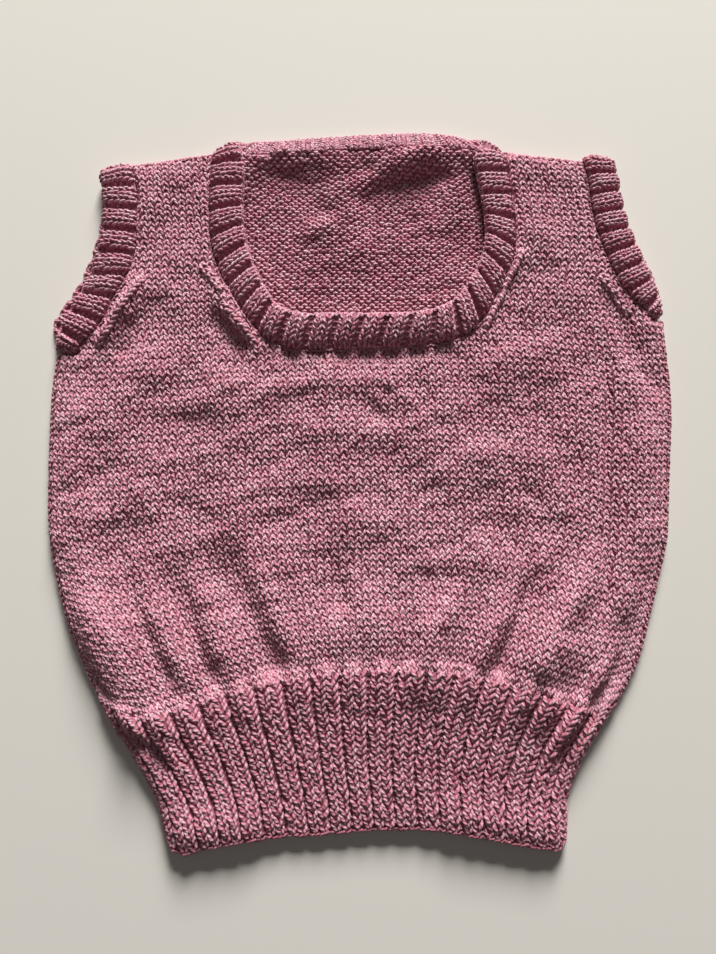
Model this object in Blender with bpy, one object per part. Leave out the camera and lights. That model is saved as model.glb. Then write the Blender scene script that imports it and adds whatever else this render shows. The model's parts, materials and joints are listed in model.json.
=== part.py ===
"""A child's hand-knitted slipover vest, lying flat on its back.

The two body panels lie on each other with a little air between them. Each panel hangs
from its shoulder seams and ends in a deep two-by-two rib welt. A rib band is picked up
round the neck and round each armhole, and folds over from the front to the back at the
shoulders and the underarms. Every piece is a wall of cloth of its real thickness.

Tables are in millimetres on the lying garment: x to the right, y towards the neck and
z up from the surface that it lies on.
"""

import math
from collections import namedtuple

import bpy
import numpy as np
from mathutils import Vector
from mathutils.geometry import delaunay_2d_cdt

MM = 0.001

# The cloth
CLOTH = 2.5  # thickness of the knitted wall
SEAM_GAP = 0.6  # clear space along a seam, so that the pieces stay apart
RIB_RELIEF = 1.9  # how far a knit rib stands out of the purl valleys

# How the layers lie
SEAM_HEIGHT = 3.0  # the side and shoulder seams run round the garment at this height
SEAM_CLEARANCE = 0.15  # the front and the back each stop this far from that height
FOOT = SEAM_HEIGHT + SEAM_CLEARANCE  # the lowest of the front's edge
BACK_TOP = 2.6
FRONT_TOP = 7.9
FOLD_RADIUS = 12.0  # the front rolls down to the seams over this width
EDGE_LIP = 1.5  # height of the front's rim at a seam
SEAM_DIP = 0.9  # the front sinks a little where a band or welt is joined on
SEAM_DIP_WIDTH = 3.0
UNDERSIDE_INSET = 1.4  # the underside's edge is rounded off this far in
UNDERSIDE_RISE = 1.2
CENTRE = (-0.85, -5.6, 0.0)  # moves the middle of the layout to the origin

# Mesh spacing
FRONT_SPACING = 8.5
INNER_SPACING = 17.0
EDGE_SPACING = 6.0
FRONT_RINGS = (2.6, 7.0)  # how far in from the edge the front's first points lie
INNER_RINGS = (4.5,)
COLUMNS_PER_RIB = 4  # two knit and two purl stitches make one rib
SAME_POINT = 1.0  # neighbouring runs of an outline share a corner this near
SLIVER_AREA = 0.1  # triangles below this, in square mm, lie along a straight edge outside it

YARN = (0.44, 0.20, 0.235, 1.0)
YARN_ROUGHNESS = 0.9

Level = namedtuple("Level", "y left right")
# The outline of the body and the welt, from the hem up to the underarms.
SIDE_LEVELS = [
    Level(-206.0, -105.2, 115.0),
    Level(-194.0, -108.6, 115.9),
    Level(-183.5, -111.8, 116.6),
    Level(-173.0, -117.8, 119.8),
    Level(-162.0, -124.6, 125.6),
    Level(-151.0, -132.6, 132.2),
    Level(-140.0, -140.2, 140.0),
    Level(-129.0, -146.9, 147.9),
    Level(-107.0, -158.2, 160.4),
    Level(-84.0, -168.2, 168.0),
    Level(-61.0, -175.0, 174.6),
    Level(-38.0, -180.6, 181.0),
    Level(-14.0, -182.9, 183.6),
    Level(10.0, -183.8, 185.6),
    Level(34.0, -184.5, 188.0),
    Level(57.0, -184.3, 188.5),
    Level(71.0, -183.0, 187.6),
    Level(97.0, -183.0, 186.6),
]
LEFT_UNDERARM = 74.0  # heights where the sides end
RIGHT_UNDERARM = 96.0

Point = namedtuple("Point", "x y")
# The line where the body is gathered into the welt, from side to side.
WELT_TOP = [
    Point(-147.0, -129.0),
    Point(-132.0, -135.0),
    Point(-117.0, -136.5),
    Point(-100.0, -131.5),
    Point(-72.0, -123.0),
    Point(-33.0, -115.0),
    Point(12.5, -111.2),
    Point(58.0, -113.2),
    Point(97.0, -122.5),
    Point(120.0, -130.5),
    Point(134.0, -132.5),
    Point(148.0, -129.0),
]
# The hem, which is drawn up in the middle.
HEM = [
    Point(-105.2, -206.0),
    Point(-98.0, -210.2),
    Point(-84.0, -207.6),
    Point(-56.0, -203.0),
    Point(-20.0, -200.4),
    Point(12.0, -198.0),
    Point(46.0, -198.4),
    Point(74.0, -202.6),
    Point(98.0, -206.8),
    Point(110.0, -208.4),
    Point(115.0, -206.0),
]

Fold = namedtuple("Fold", "name x0 y0 x1 y1 lift width")
# Soft ridges (lift above nothing) and troughs (lift below nothing) of the front: each
# runs from one point to the other and dies away over its width.
FRONT_FOLDS = [
    Fold("left gather ridge", -151.3, -81.3, -103.5, -127.0, 3.0, 11.0),
    Fold("left gather trough", -136.1, -35.3, -93.7, -81.3, -1.5, 10.0),
    Fold("left gather trough, lower", -93.7, -81.3, -80.5, -110.0, -2.2, 8.0),
    Fold("second ridge", -119.5, -84.1, -97.6, -116.0, 1.8, 8.0),
    Fold("middle ridge", -84.2, -72.8, -68.1, -112.0, 2.0, 7.5),
    Fold("middle trough", -74.5, -46.9, -59.1, -89.7, -1.7, 8.0),
    Fold("middle trough, lower", -59.1, -89.7, -40.0, -108.0, -2.4, 7.0),
    Fold("long soft ridge", -64.7, -14.8, -38.0, -75.6, 1.5, 13.0),
    Fold("lone dimple", -10.4, -62.2, -6.3, -76.0, -1.8, 7.0),
    Fold("centre ridge", 42.4, -78.3, 31.8, -106.0, 2.0, 8.0),
    Fold("right trough", 93.3, -76.4, 72.1, -108.0, -2.0, 7.5),
    Fold("right gather ridge", 109.9, -66.8, 85.5, -110.0, 3.0, 9.0),
    Fold("outer right trough", 126.2, -92.3, 106.0, -122.0, -1.7, 8.0),
    Fold("outer right ridge", 141.5, -88.3, 121.0, -122.0, 1.9, 9.0),
    Fold("right side valley", 148.1, 57.9, 147.6, -22.9, -1.0, 9.0),
    Fold("valley under right armhole", 151.1, 108.2, 165.9, 75.3, -2.0, 9.0),
    Fold("pucker at right side", 165.9, 75.3, 184.6, 50.4, -1.9, 8.0),
    Fold("left armhole decreases", -155.6, 80.1, -125.9, 124.3, 1.6, 5.0),
    Fold("valley beside left decreases", -141.2, 78.7, -124.6, 106.2, -1.3, 7.0),
    Fold("left neck decreases", -90.0, 117.1, -55.5, 71.8, 1.7, 6.0),
    Fold("left neck hollow", -84.3, 92.9, -73.6, 84.8, -1.9, 7.0),
    Fold("right neck decreases", 99.1, 139.6, 77.6, 93.5, 1.4, 6.0),
    Fold("swell above welt, left", -118.0, -118.0, -40.0, -104.0, 1.2, 15.0),
    Fold("swell above welt, right", -10.0, -98.0, 110.0, -112.0, 1.4, 15.0),
    Fold("belly", -60.0, 20.0, 70.0, -20.0, 0.6, 70.0),
]
# Grooves that run down through the welt at its sides, and the sweep beside them.
WELT_FOLDS = [
    Fold("left welt groove", -124.1, -138.0, -97.3, -185.0, -1.6, 6.5),
    Fold("right welt groove", 135.2, -134.1, 110.1, -196.3, -1.5, 6.0),
    Fold("top of the welt", -110.0, -134.0, 120.0, -130.0, 0.9, 16.0),
]
WELT_TOP_HEIGHT = 7.0  # purl valleys at the upper edge of the front welt
WELT_HEM_HEIGHT = 5.6  # and at its hem
WELT_INNER_HEIGHT = 3.7
WELT_STITCHES = 74
WELT_ROWS = 10  # rows of points down the front welt
WELT_END_SHARE = 0.08  # the ribs sink into the gathered line and the hem over this share
WELT_END_RELIEF = 0.35
BACK_WELT_GRID = (48, 12)  # columns and rows of points round the back welt's edge

Station = namedtuple("Station", "edge_x edge_y edge_z free_x free_y free_z crown")
# Each band is a ring of stations. The edge is where it is picked up from the body, and
# the free side is its bound-off rim. Both are at the middle of the cloth's thickness.
# Crown is how far the cloth bulges outward between the two.
LEFT_ARM_STATIONS = [
    Station(-171.6, 77.4, 4.0, -183.6, 79.8, 4.0, 0.3),
    Station(-170.0, 80.0, 6.3, -182.0, 86.5, 6.0, 0.5),
    Station(-164.4, 86.0, 6.6, -179.6, 94.0, 6.5, 0.6),
    Station(-157.4, 95.8, 6.6, -175.5, 103.0, 6.6, 0.6),
    Station(-150.4, 110.2, 6.6, -170.4, 113.0, 6.6, 0.6),
    Station(-143.4, 124.2, 6.6, -164.8, 123.5, 6.6, 0.6),
    Station(-138.6, 144.0, 6.6, -160.2, 146.0, 6.6, 0.6),
    Station(-138.4, 157.0, 6.6, -158.8, 158.5, 6.6, 0.6),
    Station(-138.4, 174.0, 6.6, -159.2, 175.0, 6.6, 0.6),
    Station(-141.3, 190.0, 6.6, -161.0, 186.5, 6.5, 0.6),
    Station(-143.2, 195.8, 6.2, -162.0, 190.2, 6.0, 0.4),
    Station(-143.6, 197.9, 4.0, -162.3, 192.2, 4.0, 0.2),
    Station(-143.2, 195.8, 1.7, -162.0, 190.0, 1.7, 0.0),
    Station(-141.3, 189.0, 1.5, -161.0, 185.0, 1.5, 0.0),
    Station(-139.4, 172.0, 1.5, -160.6, 170.0, 1.5, 0.0),
    Station(-141.0, 146.0, 1.5, -163.4, 148.0, 1.5, 0.0),
    Station(-147.0, 123.0, 1.5, -171.6, 123.0, 1.5, 0.0),
    Station(-157.0, 104.0, 1.5, -180.4, 107.5, 1.5, 0.0),
    Station(-164.6, 89.5, 1.5, -186.6, 96.0, 1.7, 0.0),
    Station(-170.0, 80.2, 1.7, -185.6, 85.0, 2.0, 0.0),
]
RIGHT_ARM_STATIONS = [
    Station(179.4, 98.4, 4.0, 185.4, 103.0, 4.0, 0.3),
    Station(177.4, 101.0, 6.2, 184.6, 109.0, 5.4, 0.5),
    Station(172.0, 107.0, 6.6, 182.6, 116.0, 6.2, 0.6),
    Station(164.0, 117.0, 6.6, 179.6, 124.5, 6.5, 0.6),
    Station(158.0, 128.0, 6.6, 175.4, 136.0, 6.6, 0.6),
    Station(153.0, 142.5, 6.6, 171.0, 148.0, 6.6, 0.6),
    Station(149.0, 158.0, 6.6, 167.0, 161.0, 6.6, 0.6),
    Station(147.0, 172.0, 6.6, 164.4, 175.0, 6.6, 0.6),
    Station(145.4, 188.0, 6.6, 162.8, 189.0, 6.6, 0.6),
    Station(143.2, 200.6, 6.2, 161.0, 197.6, 6.0, 0.4),
    Station(142.8, 203.0, 4.0, 160.2, 199.8, 4.0, 0.2),
    Station(143.2, 200.6, 1.7, 160.6, 197.4, 1.7, 0.0),
    Station(145.4, 188.0, 1.5, 162.8, 187.0, 1.5, 0.0),
    Station(147.4, 170.0, 1.5, 165.0, 172.0, 1.5, 0.0),
    Station(151.0, 150.0, 1.5, 170.4, 154.0, 1.5, 0.0),
    Station(158.0, 130.0, 1.5, 178.0, 138.0, 1.5, 0.0),
    Station(167.0, 114.0, 1.5, 184.0, 123.0, 1.5, 0.0),
    Station(177.4, 101.2, 1.7, 187.0, 108.5, 1.8, 0.0),
]
NECK_STATIONS = [
    Station(-91.0, 204.6, 4.0, -76.0, 211.0, 6.4, 0.6),
    Station(-91.8, 200.4, 6.3, -72.4, 203.6, 8.0, 0.8),
    Station(-92.6, 187.0, 6.6, -72.0, 187.8, 7.8, 0.8),
    Station(-92.6, 167.0, 6.6, -72.3, 170.6, 7.8, 0.8),
    Station(-91.0, 147.0, 6.6, -71.4, 155.4, 8.0, 0.8),
    Station(-85.2, 128.0, 6.6, -68.0, 140.6, 8.3, 0.8),
    Station(-77.2, 113.0, 6.6, -62.5, 126.0, 8.6, 0.8),
    Station(-68.0, 98.0, 6.6, -55.8, 113.3, 8.9, 0.8),
    Station(-57.0, 85.6, 6.6, -48.2, 103.3, 9.3, 0.8),
    Station(-41.0, 79.0, 6.4, -34.8, 98.6, 9.8, 0.8),
    Station(-17.0, 78.4, 6.2, -12.0, 98.2, 10.2, 0.8),
    Station(7.0, 79.4, 6.2, 13.0, 98.2, 10.2, 0.8),
    Station(31.5, 80.4, 6.2, 37.0, 99.4, 10.2, 0.8),
    Station(54.0, 82.8, 6.4, 53.0, 104.0, 9.7, 0.8),
    Station(68.0, 88.6, 6.6, 61.8, 110.7, 9.2, 0.8),
    Station(78.6, 101.3, 6.6, 69.0, 120.5, 8.8, 0.8),
    Station(87.2, 116.4, 6.6, 75.0, 132.1, 8.5, 0.8),
    Station(95.2, 133.0, 6.6, 79.0, 145.3, 8.2, 0.8),
    Station(97.6, 150.0, 6.6, 79.6, 157.0, 8.0, 0.8),
    Station(96.8, 170.0, 6.6, 78.3, 170.6, 7.8, 0.8),
    Station(94.7, 187.0, 6.6, 75.7, 186.8, 7.8, 0.8),
    Station(92.0, 202.0, 6.3, 73.6, 202.0, 8.0, 0.8),
    Station(91.2, 206.4, 4.2, 77.4, 211.8, 6.4, 0.6),
    Station(84.6, 207.8, 2.0, 69.6, 216.0, 3.6, 1.0),
    Station(74.0, 208.0, 1.5, 62.5, 218.8, 2.4, 1.6),
    Station(57.0, 209.4, 1.5, 51.0, 220.6, 2.0, 2.0),
    Station(39.5, 210.0, 1.5, 38.0, 221.4, 2.0, 2.2),
    Station(14.0, 208.7, 1.5, 14.0, 220.6, 2.0, 2.2),
    Station(-11.5, 207.2, 1.5, -11.5, 219.0, 2.0, 2.2),
    Station(-37.0, 206.0, 1.5, -37.0, 217.2, 2.0, 2.2),
    Station(-58.0, 204.4, 1.5, -53.5, 215.6, 2.0, 1.8),
    Station(-73.0, 203.6, 1.5, -63.0, 215.2, 2.6, 1.4),
    Station(-84.0, 203.8, 1.8, -69.4, 214.4, 3.8, 1.0),
]
Band = namedtuple("Band", "name stations ribs facing")
NECKBAND = Band("neckband", NECK_STATIONS, ribs=35, facing=1)
ARMBAND_LEFT = Band("armband_left", LEFT_ARM_STATIONS, ribs=17, facing=1)
ARMBAND_RIGHT = Band("armband_right", RIGHT_ARM_STATIONS, ribs=17, facing=-1)

# The band's section: share of its width from the picked-up edge, and of the rib relief.
SectionPoint = namedtuple("SectionPoint", "across relief")
BAND_SECTION = [
    SectionPoint(0.0, 0.2),
    SectionPoint(0.16, 1.0),
    SectionPoint(0.84, 1.0),
    SectionPoint(1.0, 0.3),
]


# ---------------------------------------------------------------- curves and outlines


def smooth(rows, closed=False, steps=14):
    """A smooth curve through rows of numbers, even where they are unevenly spaced."""
    rows = np.array(rows, float)
    count = len(rows)
    after = np.roll(rows, -1, axis=0) - rows
    chord = np.sqrt(np.linalg.norm(after, axis=1))[:, None] + 1e-9
    slope = after / chord
    if closed:
        before = np.roll(slope, 1, axis=0)
        span_before = np.roll(chord, 1, axis=0)
    else:
        slope[-1] = slope[-2]
        chord[-1] = chord[-2]
        before = np.vstack([slope[:1], slope[:-1]])
        span_before = np.vstack([chord[:1], chord[:-1]])
    tangent = (before * chord + slope * span_before) / (chord + span_before)
    curve = []
    for i in range(count if closed else count - 1):
        j = (i + 1) % count
        for t in np.arange(steps) / steps:
            curve.append(
                (2 * t**3 - 3 * t**2 + 1) * rows[i]
                + (t**3 - 2 * t**2 + t) * chord[i] * tangent[i]
                + (3 * t**2 - 2 * t**3) * rows[j]
                + (t**3 - t**2) * chord[i] * tangent[j]
            )
    if not closed:
        curve.append(rows[-1])
    return np.array(curve)


def evenly(curve, count, closed=False, measure=None):
    """Count points spaced evenly along a curve, by the length of its measured columns."""
    run = np.vstack([curve, curve[:1]]) if closed else curve
    seen = run if measure is None else measure(run)
    length = np.concatenate([[0], np.cumsum(np.linalg.norm(np.diff(seen, axis=0), axis=1))])
    wanted = np.linspace(0, length[-1], count + 1)[:-1] if closed else np.linspace(0, length[-1], count)
    return np.column_stack([np.interp(wanted, length, column) for column in run.T])


def spaced(curve, spacing):
    """Points about one spacing apart along an open curve, with both of its ends."""
    length = np.linalg.norm(np.diff(curve, axis=0), axis=1).sum()
    return evenly(curve, max(2, round(length / spacing) + 1))


def side_line(side, low, high):
    """The left or right edge of the body between two heights."""
    curve = smooth([(getattr(level, side), level.y) for level in SIDE_LEVELS])
    inside = curve[(curve[:, 1] > low + 0.5) & (curve[:, 1] < high - 0.5)]
    ends = [[np.interp(y, curve[:, 1], curve[:, 0]), y] for y in (low, high)]
    return np.vstack([ends[:1], inside, ends[1:]])


def middle_line(rows):
    return (rows[:, 0:3] + rows[:, 3:6]) / 2


def ring_of(band):
    """A band's stations spread evenly round its ring, four columns to a rib."""
    curve = smooth(band.stations, closed=True)
    return evenly(curve, band.ribs * COLUMNS_PER_RIB, closed=True, measure=middle_line)


def outward(curve, facing):
    """The unit direction out of a band's cloth at each row of its ring.

    Facing is 1 where that is the side that the way round the ring and the way to the
    free rim turn round by the right hand, and -1 where it is the other.
    """
    middle = middle_line(curve)
    along = np.roll(middle, -1, axis=0) - np.roll(middle, 1, axis=0)
    out = np.cross(along, curve[:, 3:6] - curve[:, 0:3]) * facing
    return out / np.linalg.norm(out, axis=1)[:, None]


def seam_line(band, layer):
    """The body's edge beside the front or back half of a band, one seam gap away from it."""
    ring = ring_of(band)
    along = np.roll(ring[:, 0:2], -1, axis=0) - np.roll(ring[:, 0:2], 1, axis=0)
    along /= np.linalg.norm(along, axis=1)[:, None] + MM
    across = ring[:, 3:5] - ring[:, 0:2]
    across -= (across * along).sum(axis=1)[:, None] * along
    across /= np.linalg.norm(across, axis=1)[:, None]
    lean = np.abs((outward(ring, band.facing)[:, 0:2] * across).sum(axis=1))
    edge = ring[:, 0:2] - (SEAM_GAP + lean * CLOTH / 2)[:, None] * across
    level = (FRONT_TOP - CLOTH / 2 + BACK_TOP / 2) / 2
    chosen = ring[:, 2] > level if layer == "front" else ring[:, 2] <= level
    first = next(i for i in range(len(chosen)) if chosen[i] and not chosen[i - 1])
    order = [(first + i) % len(chosen) for i in range(int(chosen.sum()))]
    return edge[order]


def underarm_corner(band):
    """The corner of the body under the fold of an armband, whose first station it is."""
    ring = ring_of(band)
    out = outward(ring, band.facing)[0, 0:2]
    return ring[0, 0:2] + out * (CLOTH / 2 + RIB_RELIEF + SEAM_GAP)


def panel_outline(layer):
    """The runs of one body panel's outline, anticlockwise from its lower left corner."""
    welt = spaced(smooth(WELT_TOP), EDGE_SPACING)
    right = side_line("right", WELT_TOP[-1].y, RIGHT_UNDERARM)
    left = side_line("left", WELT_TOP[0].y, LEFT_UNDERARM)
    right_arm = seam_line(ARMBAND_RIGHT, layer)
    left_arm = seam_line(ARMBAND_LEFT, layer)
    neck = seam_line(NECKBAND, layer)
    if layer == "front":
        neck = neck[::-1]
        left_arm = left_arm[::-1]
    else:
        right_arm = right_arm[::-1]
    return [
        ("seam", welt),
        ("fold", spaced(right, EDGE_SPACING)),
        ("seam", [underarm_corner(ARMBAND_RIGHT)]),
        ("seam", right_arm),
        ("fold", shoulder(right_arm[-1], neck[0])),
        ("seam", neck),
        ("fold", shoulder(neck[-1], left_arm[0])),
        ("seam", left_arm),
        ("seam", [underarm_corner(ARMBAND_LEFT)]),
        ("fold", spaced(left[::-1], EDGE_SPACING)),
    ]


def shoulder(outer, inner):
    """The shoulder seam between the end of one band's edge and the start of the next."""
    steps = max(2, round(np.linalg.norm(inner - outer) / EDGE_SPACING))
    share = np.linspace(0, 1, steps + 1)[:, None]
    return outer + (inner - outer) * share


def closed_loop(runs):
    """The runs joined into one loop of points, and the parts of it that are folds."""
    points = []
    folds = []
    for kind, run in runs:
        for point in run:
            if not points or np.linalg.norm(np.array(points[-1]) - point) > SAME_POINT:
                points.append(tuple(point))
        if kind == "fold":
            folds.append(np.array(run))
    if np.linalg.norm(np.array(points[-1]) - points[0]) < SAME_POINT:
        points.pop()
    return np.array(points), folds


def distance_to(points, line, closed=False):
    """How far each point is from a broken line."""
    line = np.vstack([line, line[:1]]) if closed else line
    start = line[:-1]
    along = line[1:] - start
    reach = (along**2).sum(axis=1) + 1e-12
    gap = points[:, None, :] - start[None]
    share = np.clip((gap * along[None]).sum(axis=2) / reach, 0, 1)
    return np.linalg.norm(gap - share[..., None] * along[None], axis=2).min(axis=1)


def inside(points, loop):
    """Whether each point is inside a closed loop."""
    found = np.zeros(len(points), bool)
    for (x0, y0), (x1, y1) in zip(loop, np.roll(loop, -1, axis=0)):
        crosses = (y0 > points[:, 1]) != (y1 > points[:, 1])
        level = (points[:, 1] - y0) / (y1 - y0 + 1e-12)
        found ^= crosses & (points[:, 0] < x0 + level * (x1 - x0))
    return found


def moved_in(loop, distance):
    """A loop's points moved in from its edge, along the middle of each corner."""
    before = loop - np.roll(loop, 1, axis=0)
    after = np.roll(loop, -1, axis=0) - loop
    before = before / np.linalg.norm(before, axis=1)[:, None]
    after = after / np.linalg.norm(after, axis=1)[:, None]
    along = before + after
    along = along / np.linalg.norm(along, axis=1)[:, None]
    inward = np.column_stack([-along[:, 1], along[:, 0]])
    return loop + inward * distance


def filling(loop, spacing, rings):
    """Points inside a loop: rings close to its edge, then a staggered grid."""
    kept = []
    for depth in rings:
        ring = moved_in(loop, depth)
        good = inside(ring, loop) & (distance_to(ring, loop, closed=True) > 0.85 * depth)
        kept.append(ring[good])
    low = loop.min(axis=0)
    high = loop.max(axis=0)
    rows = np.arange(low[1], high[1], spacing * math.sqrt(0.75))
    grid = np.array(
        [
            (x, y)
            for i, y in enumerate(rows)
            for x in np.arange(low[0] + (i % 2) * spacing / 2, high[0], spacing)
        ]
    )
    clear = (rings[-1] if rings else 0) + spacing * 0.6
    good = inside(grid, loop) & (distance_to(grid, loop, closed=True) > clear)
    kept.append(grid[good])
    return np.vstack(kept)


# ---------------------------------------------------------------- the lie of the cloth


def relief(points, folds):
    """The height that ridges and troughs add at each point."""
    total = np.zeros(len(points))
    for fold in folds:
        line = np.array([(fold.x0, fold.y0), (fold.x1, fold.y1)])
        total += fold.lift * np.exp(-((distance_to(points, line) / fold.width) ** 2))
    return total


def rounded(distance, radius):
    """From 0 at a fold's edge up to 1 at its radius, on a quarter circle."""
    share = np.clip(distance / radius, 0, 1)
    return np.sqrt(1 - (1 - share) ** 2)


def front_heights(points, loop, folds):
    """The outer and inner heights of the front's cloth."""
    to_fold = np.min([distance_to(points, fold) for fold in folds], axis=0)
    to_edge = distance_to(points, loop, closed=True)
    crest = FRONT_TOP + relief(points, FRONT_FOLDS)
    crest -= SEAM_DIP * np.clip(1 - to_edge / SEAM_DIP_WIDTH, 0, 1)
    lip = FOOT + EDGE_LIP
    outer = lip + (crest - lip) * rounded(to_fold, FOLD_RADIUS)
    roll = rounded(to_fold - CLOTH, FOLD_RADIUS - CLOTH)
    inner = FOOT + np.maximum(crest - CLOTH - FOOT, 0) * roll
    return outer, inner


# ---------------------------------------------------------------- solids


def new_piece(name, points, faces):
    """One closed piece of cloth as an object, from points in millimetres."""
    mesh = bpy.data.meshes.new(name)
    mesh.from_pydata([(Vector(p) + Vector(CENTRE)) * MM for p in points], [], faces)
    mesh.validate()
    mesh.update()
    mesh.shade_smooth()
    mesh.set_sharp_from_angle(angle=math.radians(50))
    mesh.materials.append(yarn_material(name))
    piece = bpy.data.objects.new(name, mesh)
    bpy.context.scene.collection.objects.link(piece)
    return piece


def yarn_material(name):
    material = bpy.data.materials.new(name + "_yarn")
    material.use_nodes = True
    shader = material.node_tree.nodes["Principled BSDF"]
    shader.inputs["Base Color"].default_value = YARN
    shader.inputs["Roughness"].default_value = YARN_ROUGHNESS
    shader.inputs["Metallic"].default_value = 0.0
    return material


def spread(loop, extra):
    """Triangles that fill a loop through the points inside it, as indices."""
    points = np.vstack([loop, extra])
    edges = [(i, (i + 1) % len(loop)) for i in range(len(loop))]
    made = delaunay_2d_cdt([Vector(p) for p in points], edges, [], 0, 1e-5, True)
    first = np.array([ids[0] for ids in made[3]])
    faces = first[np.array(made[2])]
    a, b, c = (points[faces[:, k]] for k in range(3))
    doubled_area = (b - a)[:, 0] * (c - a)[:, 1] - (b - a)[:, 1] * (c - a)[:, 0]
    kept = inside((a + b + c) / 3, loop) & (np.abs(doubled_area) > SLIVER_AREA)
    return [tuple(face) for face in faces[kept].tolist()]


def wall(name, layers, tops, bottoms):
    """A closed wall from an upper and a lower sheet joined by a chain of edge loops.

    Layers are the loops of the edge from top to bottom, as rows of x, y and z. Tops and
    bottoms are the points inside the upper and the lower sheet.
    """
    count = len(layers[0])
    points = [tuple(p) for layer in layers for p in layer]
    faces = []
    for level in range(len(layers) - 1):
        for i in range(count):
            j = (i + 1) % count
            upper = level * count
            lower = upper + count
            faces.append((upper + i, lower + i, lower + j, upper + j))
    top_first = len(points)
    points += [tuple(p) for p in tops]
    bottom_first = len(points)
    points += [tuple(p) for p in bottoms]
    upper = spread(np.array(layers[0])[:, :2], np.array(tops)[:, :2])
    lower = spread(np.array(layers[-1])[:, :2], np.array(bottoms)[:, :2])
    last = (len(layers) - 1) * count
    for face in upper:
        faces.append(tuple(v if v < count else top_first + v - count for v in face))
    for face in lower:
        named = (last + v if v < count else bottom_first + v - count for v in face)
        faces.append(tuple(named)[::-1])
    return new_piece(name, points, faces)


def with_height(points, height):
    return np.column_stack([points, np.broadcast_to(height, len(points))])


def make_front():
    loop, folds = closed_loop(panel_outline("front"))
    outer_points = filling(loop, FRONT_SPACING, FRONT_RINGS)
    inner_points = filling(loop, INNER_SPACING, INNER_RINGS)
    edge_outer, edge_inner = front_heights(loop, loop, folds)
    outer, _ = front_heights(outer_points, loop, folds)
    _, inner = front_heights(inner_points, loop, folds)
    wall(
        "front",
        [with_height(loop, edge_outer), with_height(loop, edge_inner)],
        with_height(outer_points, outer),
        with_height(inner_points, inner),
    )


def flat_wall(name, loop, top):
    """A plain wall that lies flat on the surface, its lower edge rounded off."""
    inner_points = filling(loop, INNER_SPACING, rings=())
    foot = moved_in(loop, UNDERSIDE_INSET)
    wall(
        name,
        [with_height(loop, top), with_height(loop, UNDERSIDE_RISE), with_height(foot, 0.0)],
        with_height(inner_points, top),
        with_height(inner_points, 0.0),
    )


def make_back():
    loop, _ = closed_loop(panel_outline("back"))
    flat_wall("back", loop, BACK_TOP)


def welt_sheet(columns, rows):
    """Points of the welt between its sides, from the gathered line down to the hem."""
    top = evenly(smooth(WELT_TOP), columns) - (0.0, SEAM_GAP)
    hem = evenly(smooth(HEM), columns)
    left = evenly(side_line("left", HEM[0].y, WELT_TOP[0].y - SEAM_GAP)[::-1], rows)
    right = evenly(side_line("right", HEM[-1].y, WELT_TOP[-1].y - SEAM_GAP)[::-1], rows)
    down = np.linspace(0, 1, rows)[:, None, None]
    across = np.linspace(0, 1, columns)[None, :, None]
    between = (1 - down) * top[None] + down * hem[None]
    left_bow = left - ((1 - down[:, 0]) * top[0] + down[:, 0] * hem[0])
    right_bow = right - ((1 - down[:, 0]) * top[-1] + down[:, 0] * hem[-1])
    return between + (1 - across) * left_bow[:, None] + across * right_bow[:, None]


def grid_wall(name, outer, inner):
    """A closed wall between two grids of points of the same rows and columns."""
    rows, columns = outer.shape[:2]
    points = [tuple(p) for p in outer.reshape(-1, 3)] + [tuple(p) for p in inner.reshape(-1, 3)]
    under = rows * columns
    faces = []
    for r in range(rows - 1):
        for c in range(columns - 1):
            a = r * columns + c
            b = a + columns
            faces.append((a, b, b + 1, a + 1))
            faces.append((under + a, under + a + 1, under + b + 1, under + b))
    for c in range(columns - 1):
        last = (rows - 1) * columns + c
        faces.append((c, c + 1, under + c + 1, under + c))
        faces.append((last + 1, last, under + last, under + last + 1))
    for r in range(rows - 1):
        first = r * columns
        last = first + columns - 1
        faces.append((first + columns, first, under + first, under + first + columns))
        faces.append((last, last + columns, under + last + columns, under + last))
    return new_piece(name, points, faces)


def rib_wave(columns):
    """1 on a knit rib and 0 in a purl valley, column by column."""
    return np.where(np.arange(columns) % COLUMNS_PER_RIB < COLUMNS_PER_RIB / 2, 1.0, 0.0)


def make_front_welt():
    columns = WELT_STITCHES + 1
    sheet = welt_sheet(columns, WELT_ROWS)
    flat = sheet.reshape(-1, 2)
    sides = [sheet[:, 0], sheet[:, -1]]
    to_fold = np.min([distance_to(flat, side) for side in sides], axis=0)
    roll = rounded(to_fold, FOLD_RADIUS).reshape(WELT_ROWS, columns)
    down = np.linspace(0, 1, WELT_ROWS)[:, None]
    valley = WELT_TOP_HEIGHT + (WELT_HEM_HEIGHT - WELT_TOP_HEIGHT) * down
    crest = valley + relief(flat, WELT_FOLDS).reshape(WELT_ROWS, columns)
    ends = np.clip(np.minimum(down, 1 - down) / WELT_END_SHARE, WELT_END_RELIEF, 1)
    crest = crest + RIB_RELIEF * rib_wave(columns)[None] * ends
    lip = FOOT + EDGE_LIP
    outer = lip + (crest - lip) * roll
    inner = FOOT + (WELT_INNER_HEIGHT - FOOT) * roll
    grid_wall("front_welt", np.dstack([sheet, outer]), np.dstack([sheet, inner]))


def make_back_welt():
    sheet = welt_sheet(*BACK_WELT_GRID)
    loop = np.vstack([sheet[0, ::-1], sheet[1:, 0], sheet[-1, 1:], sheet[-2:0:-1, -1]])
    flat_wall("back_welt", loop, SEAM_HEIGHT - SEAM_CLEARANCE)


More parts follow.
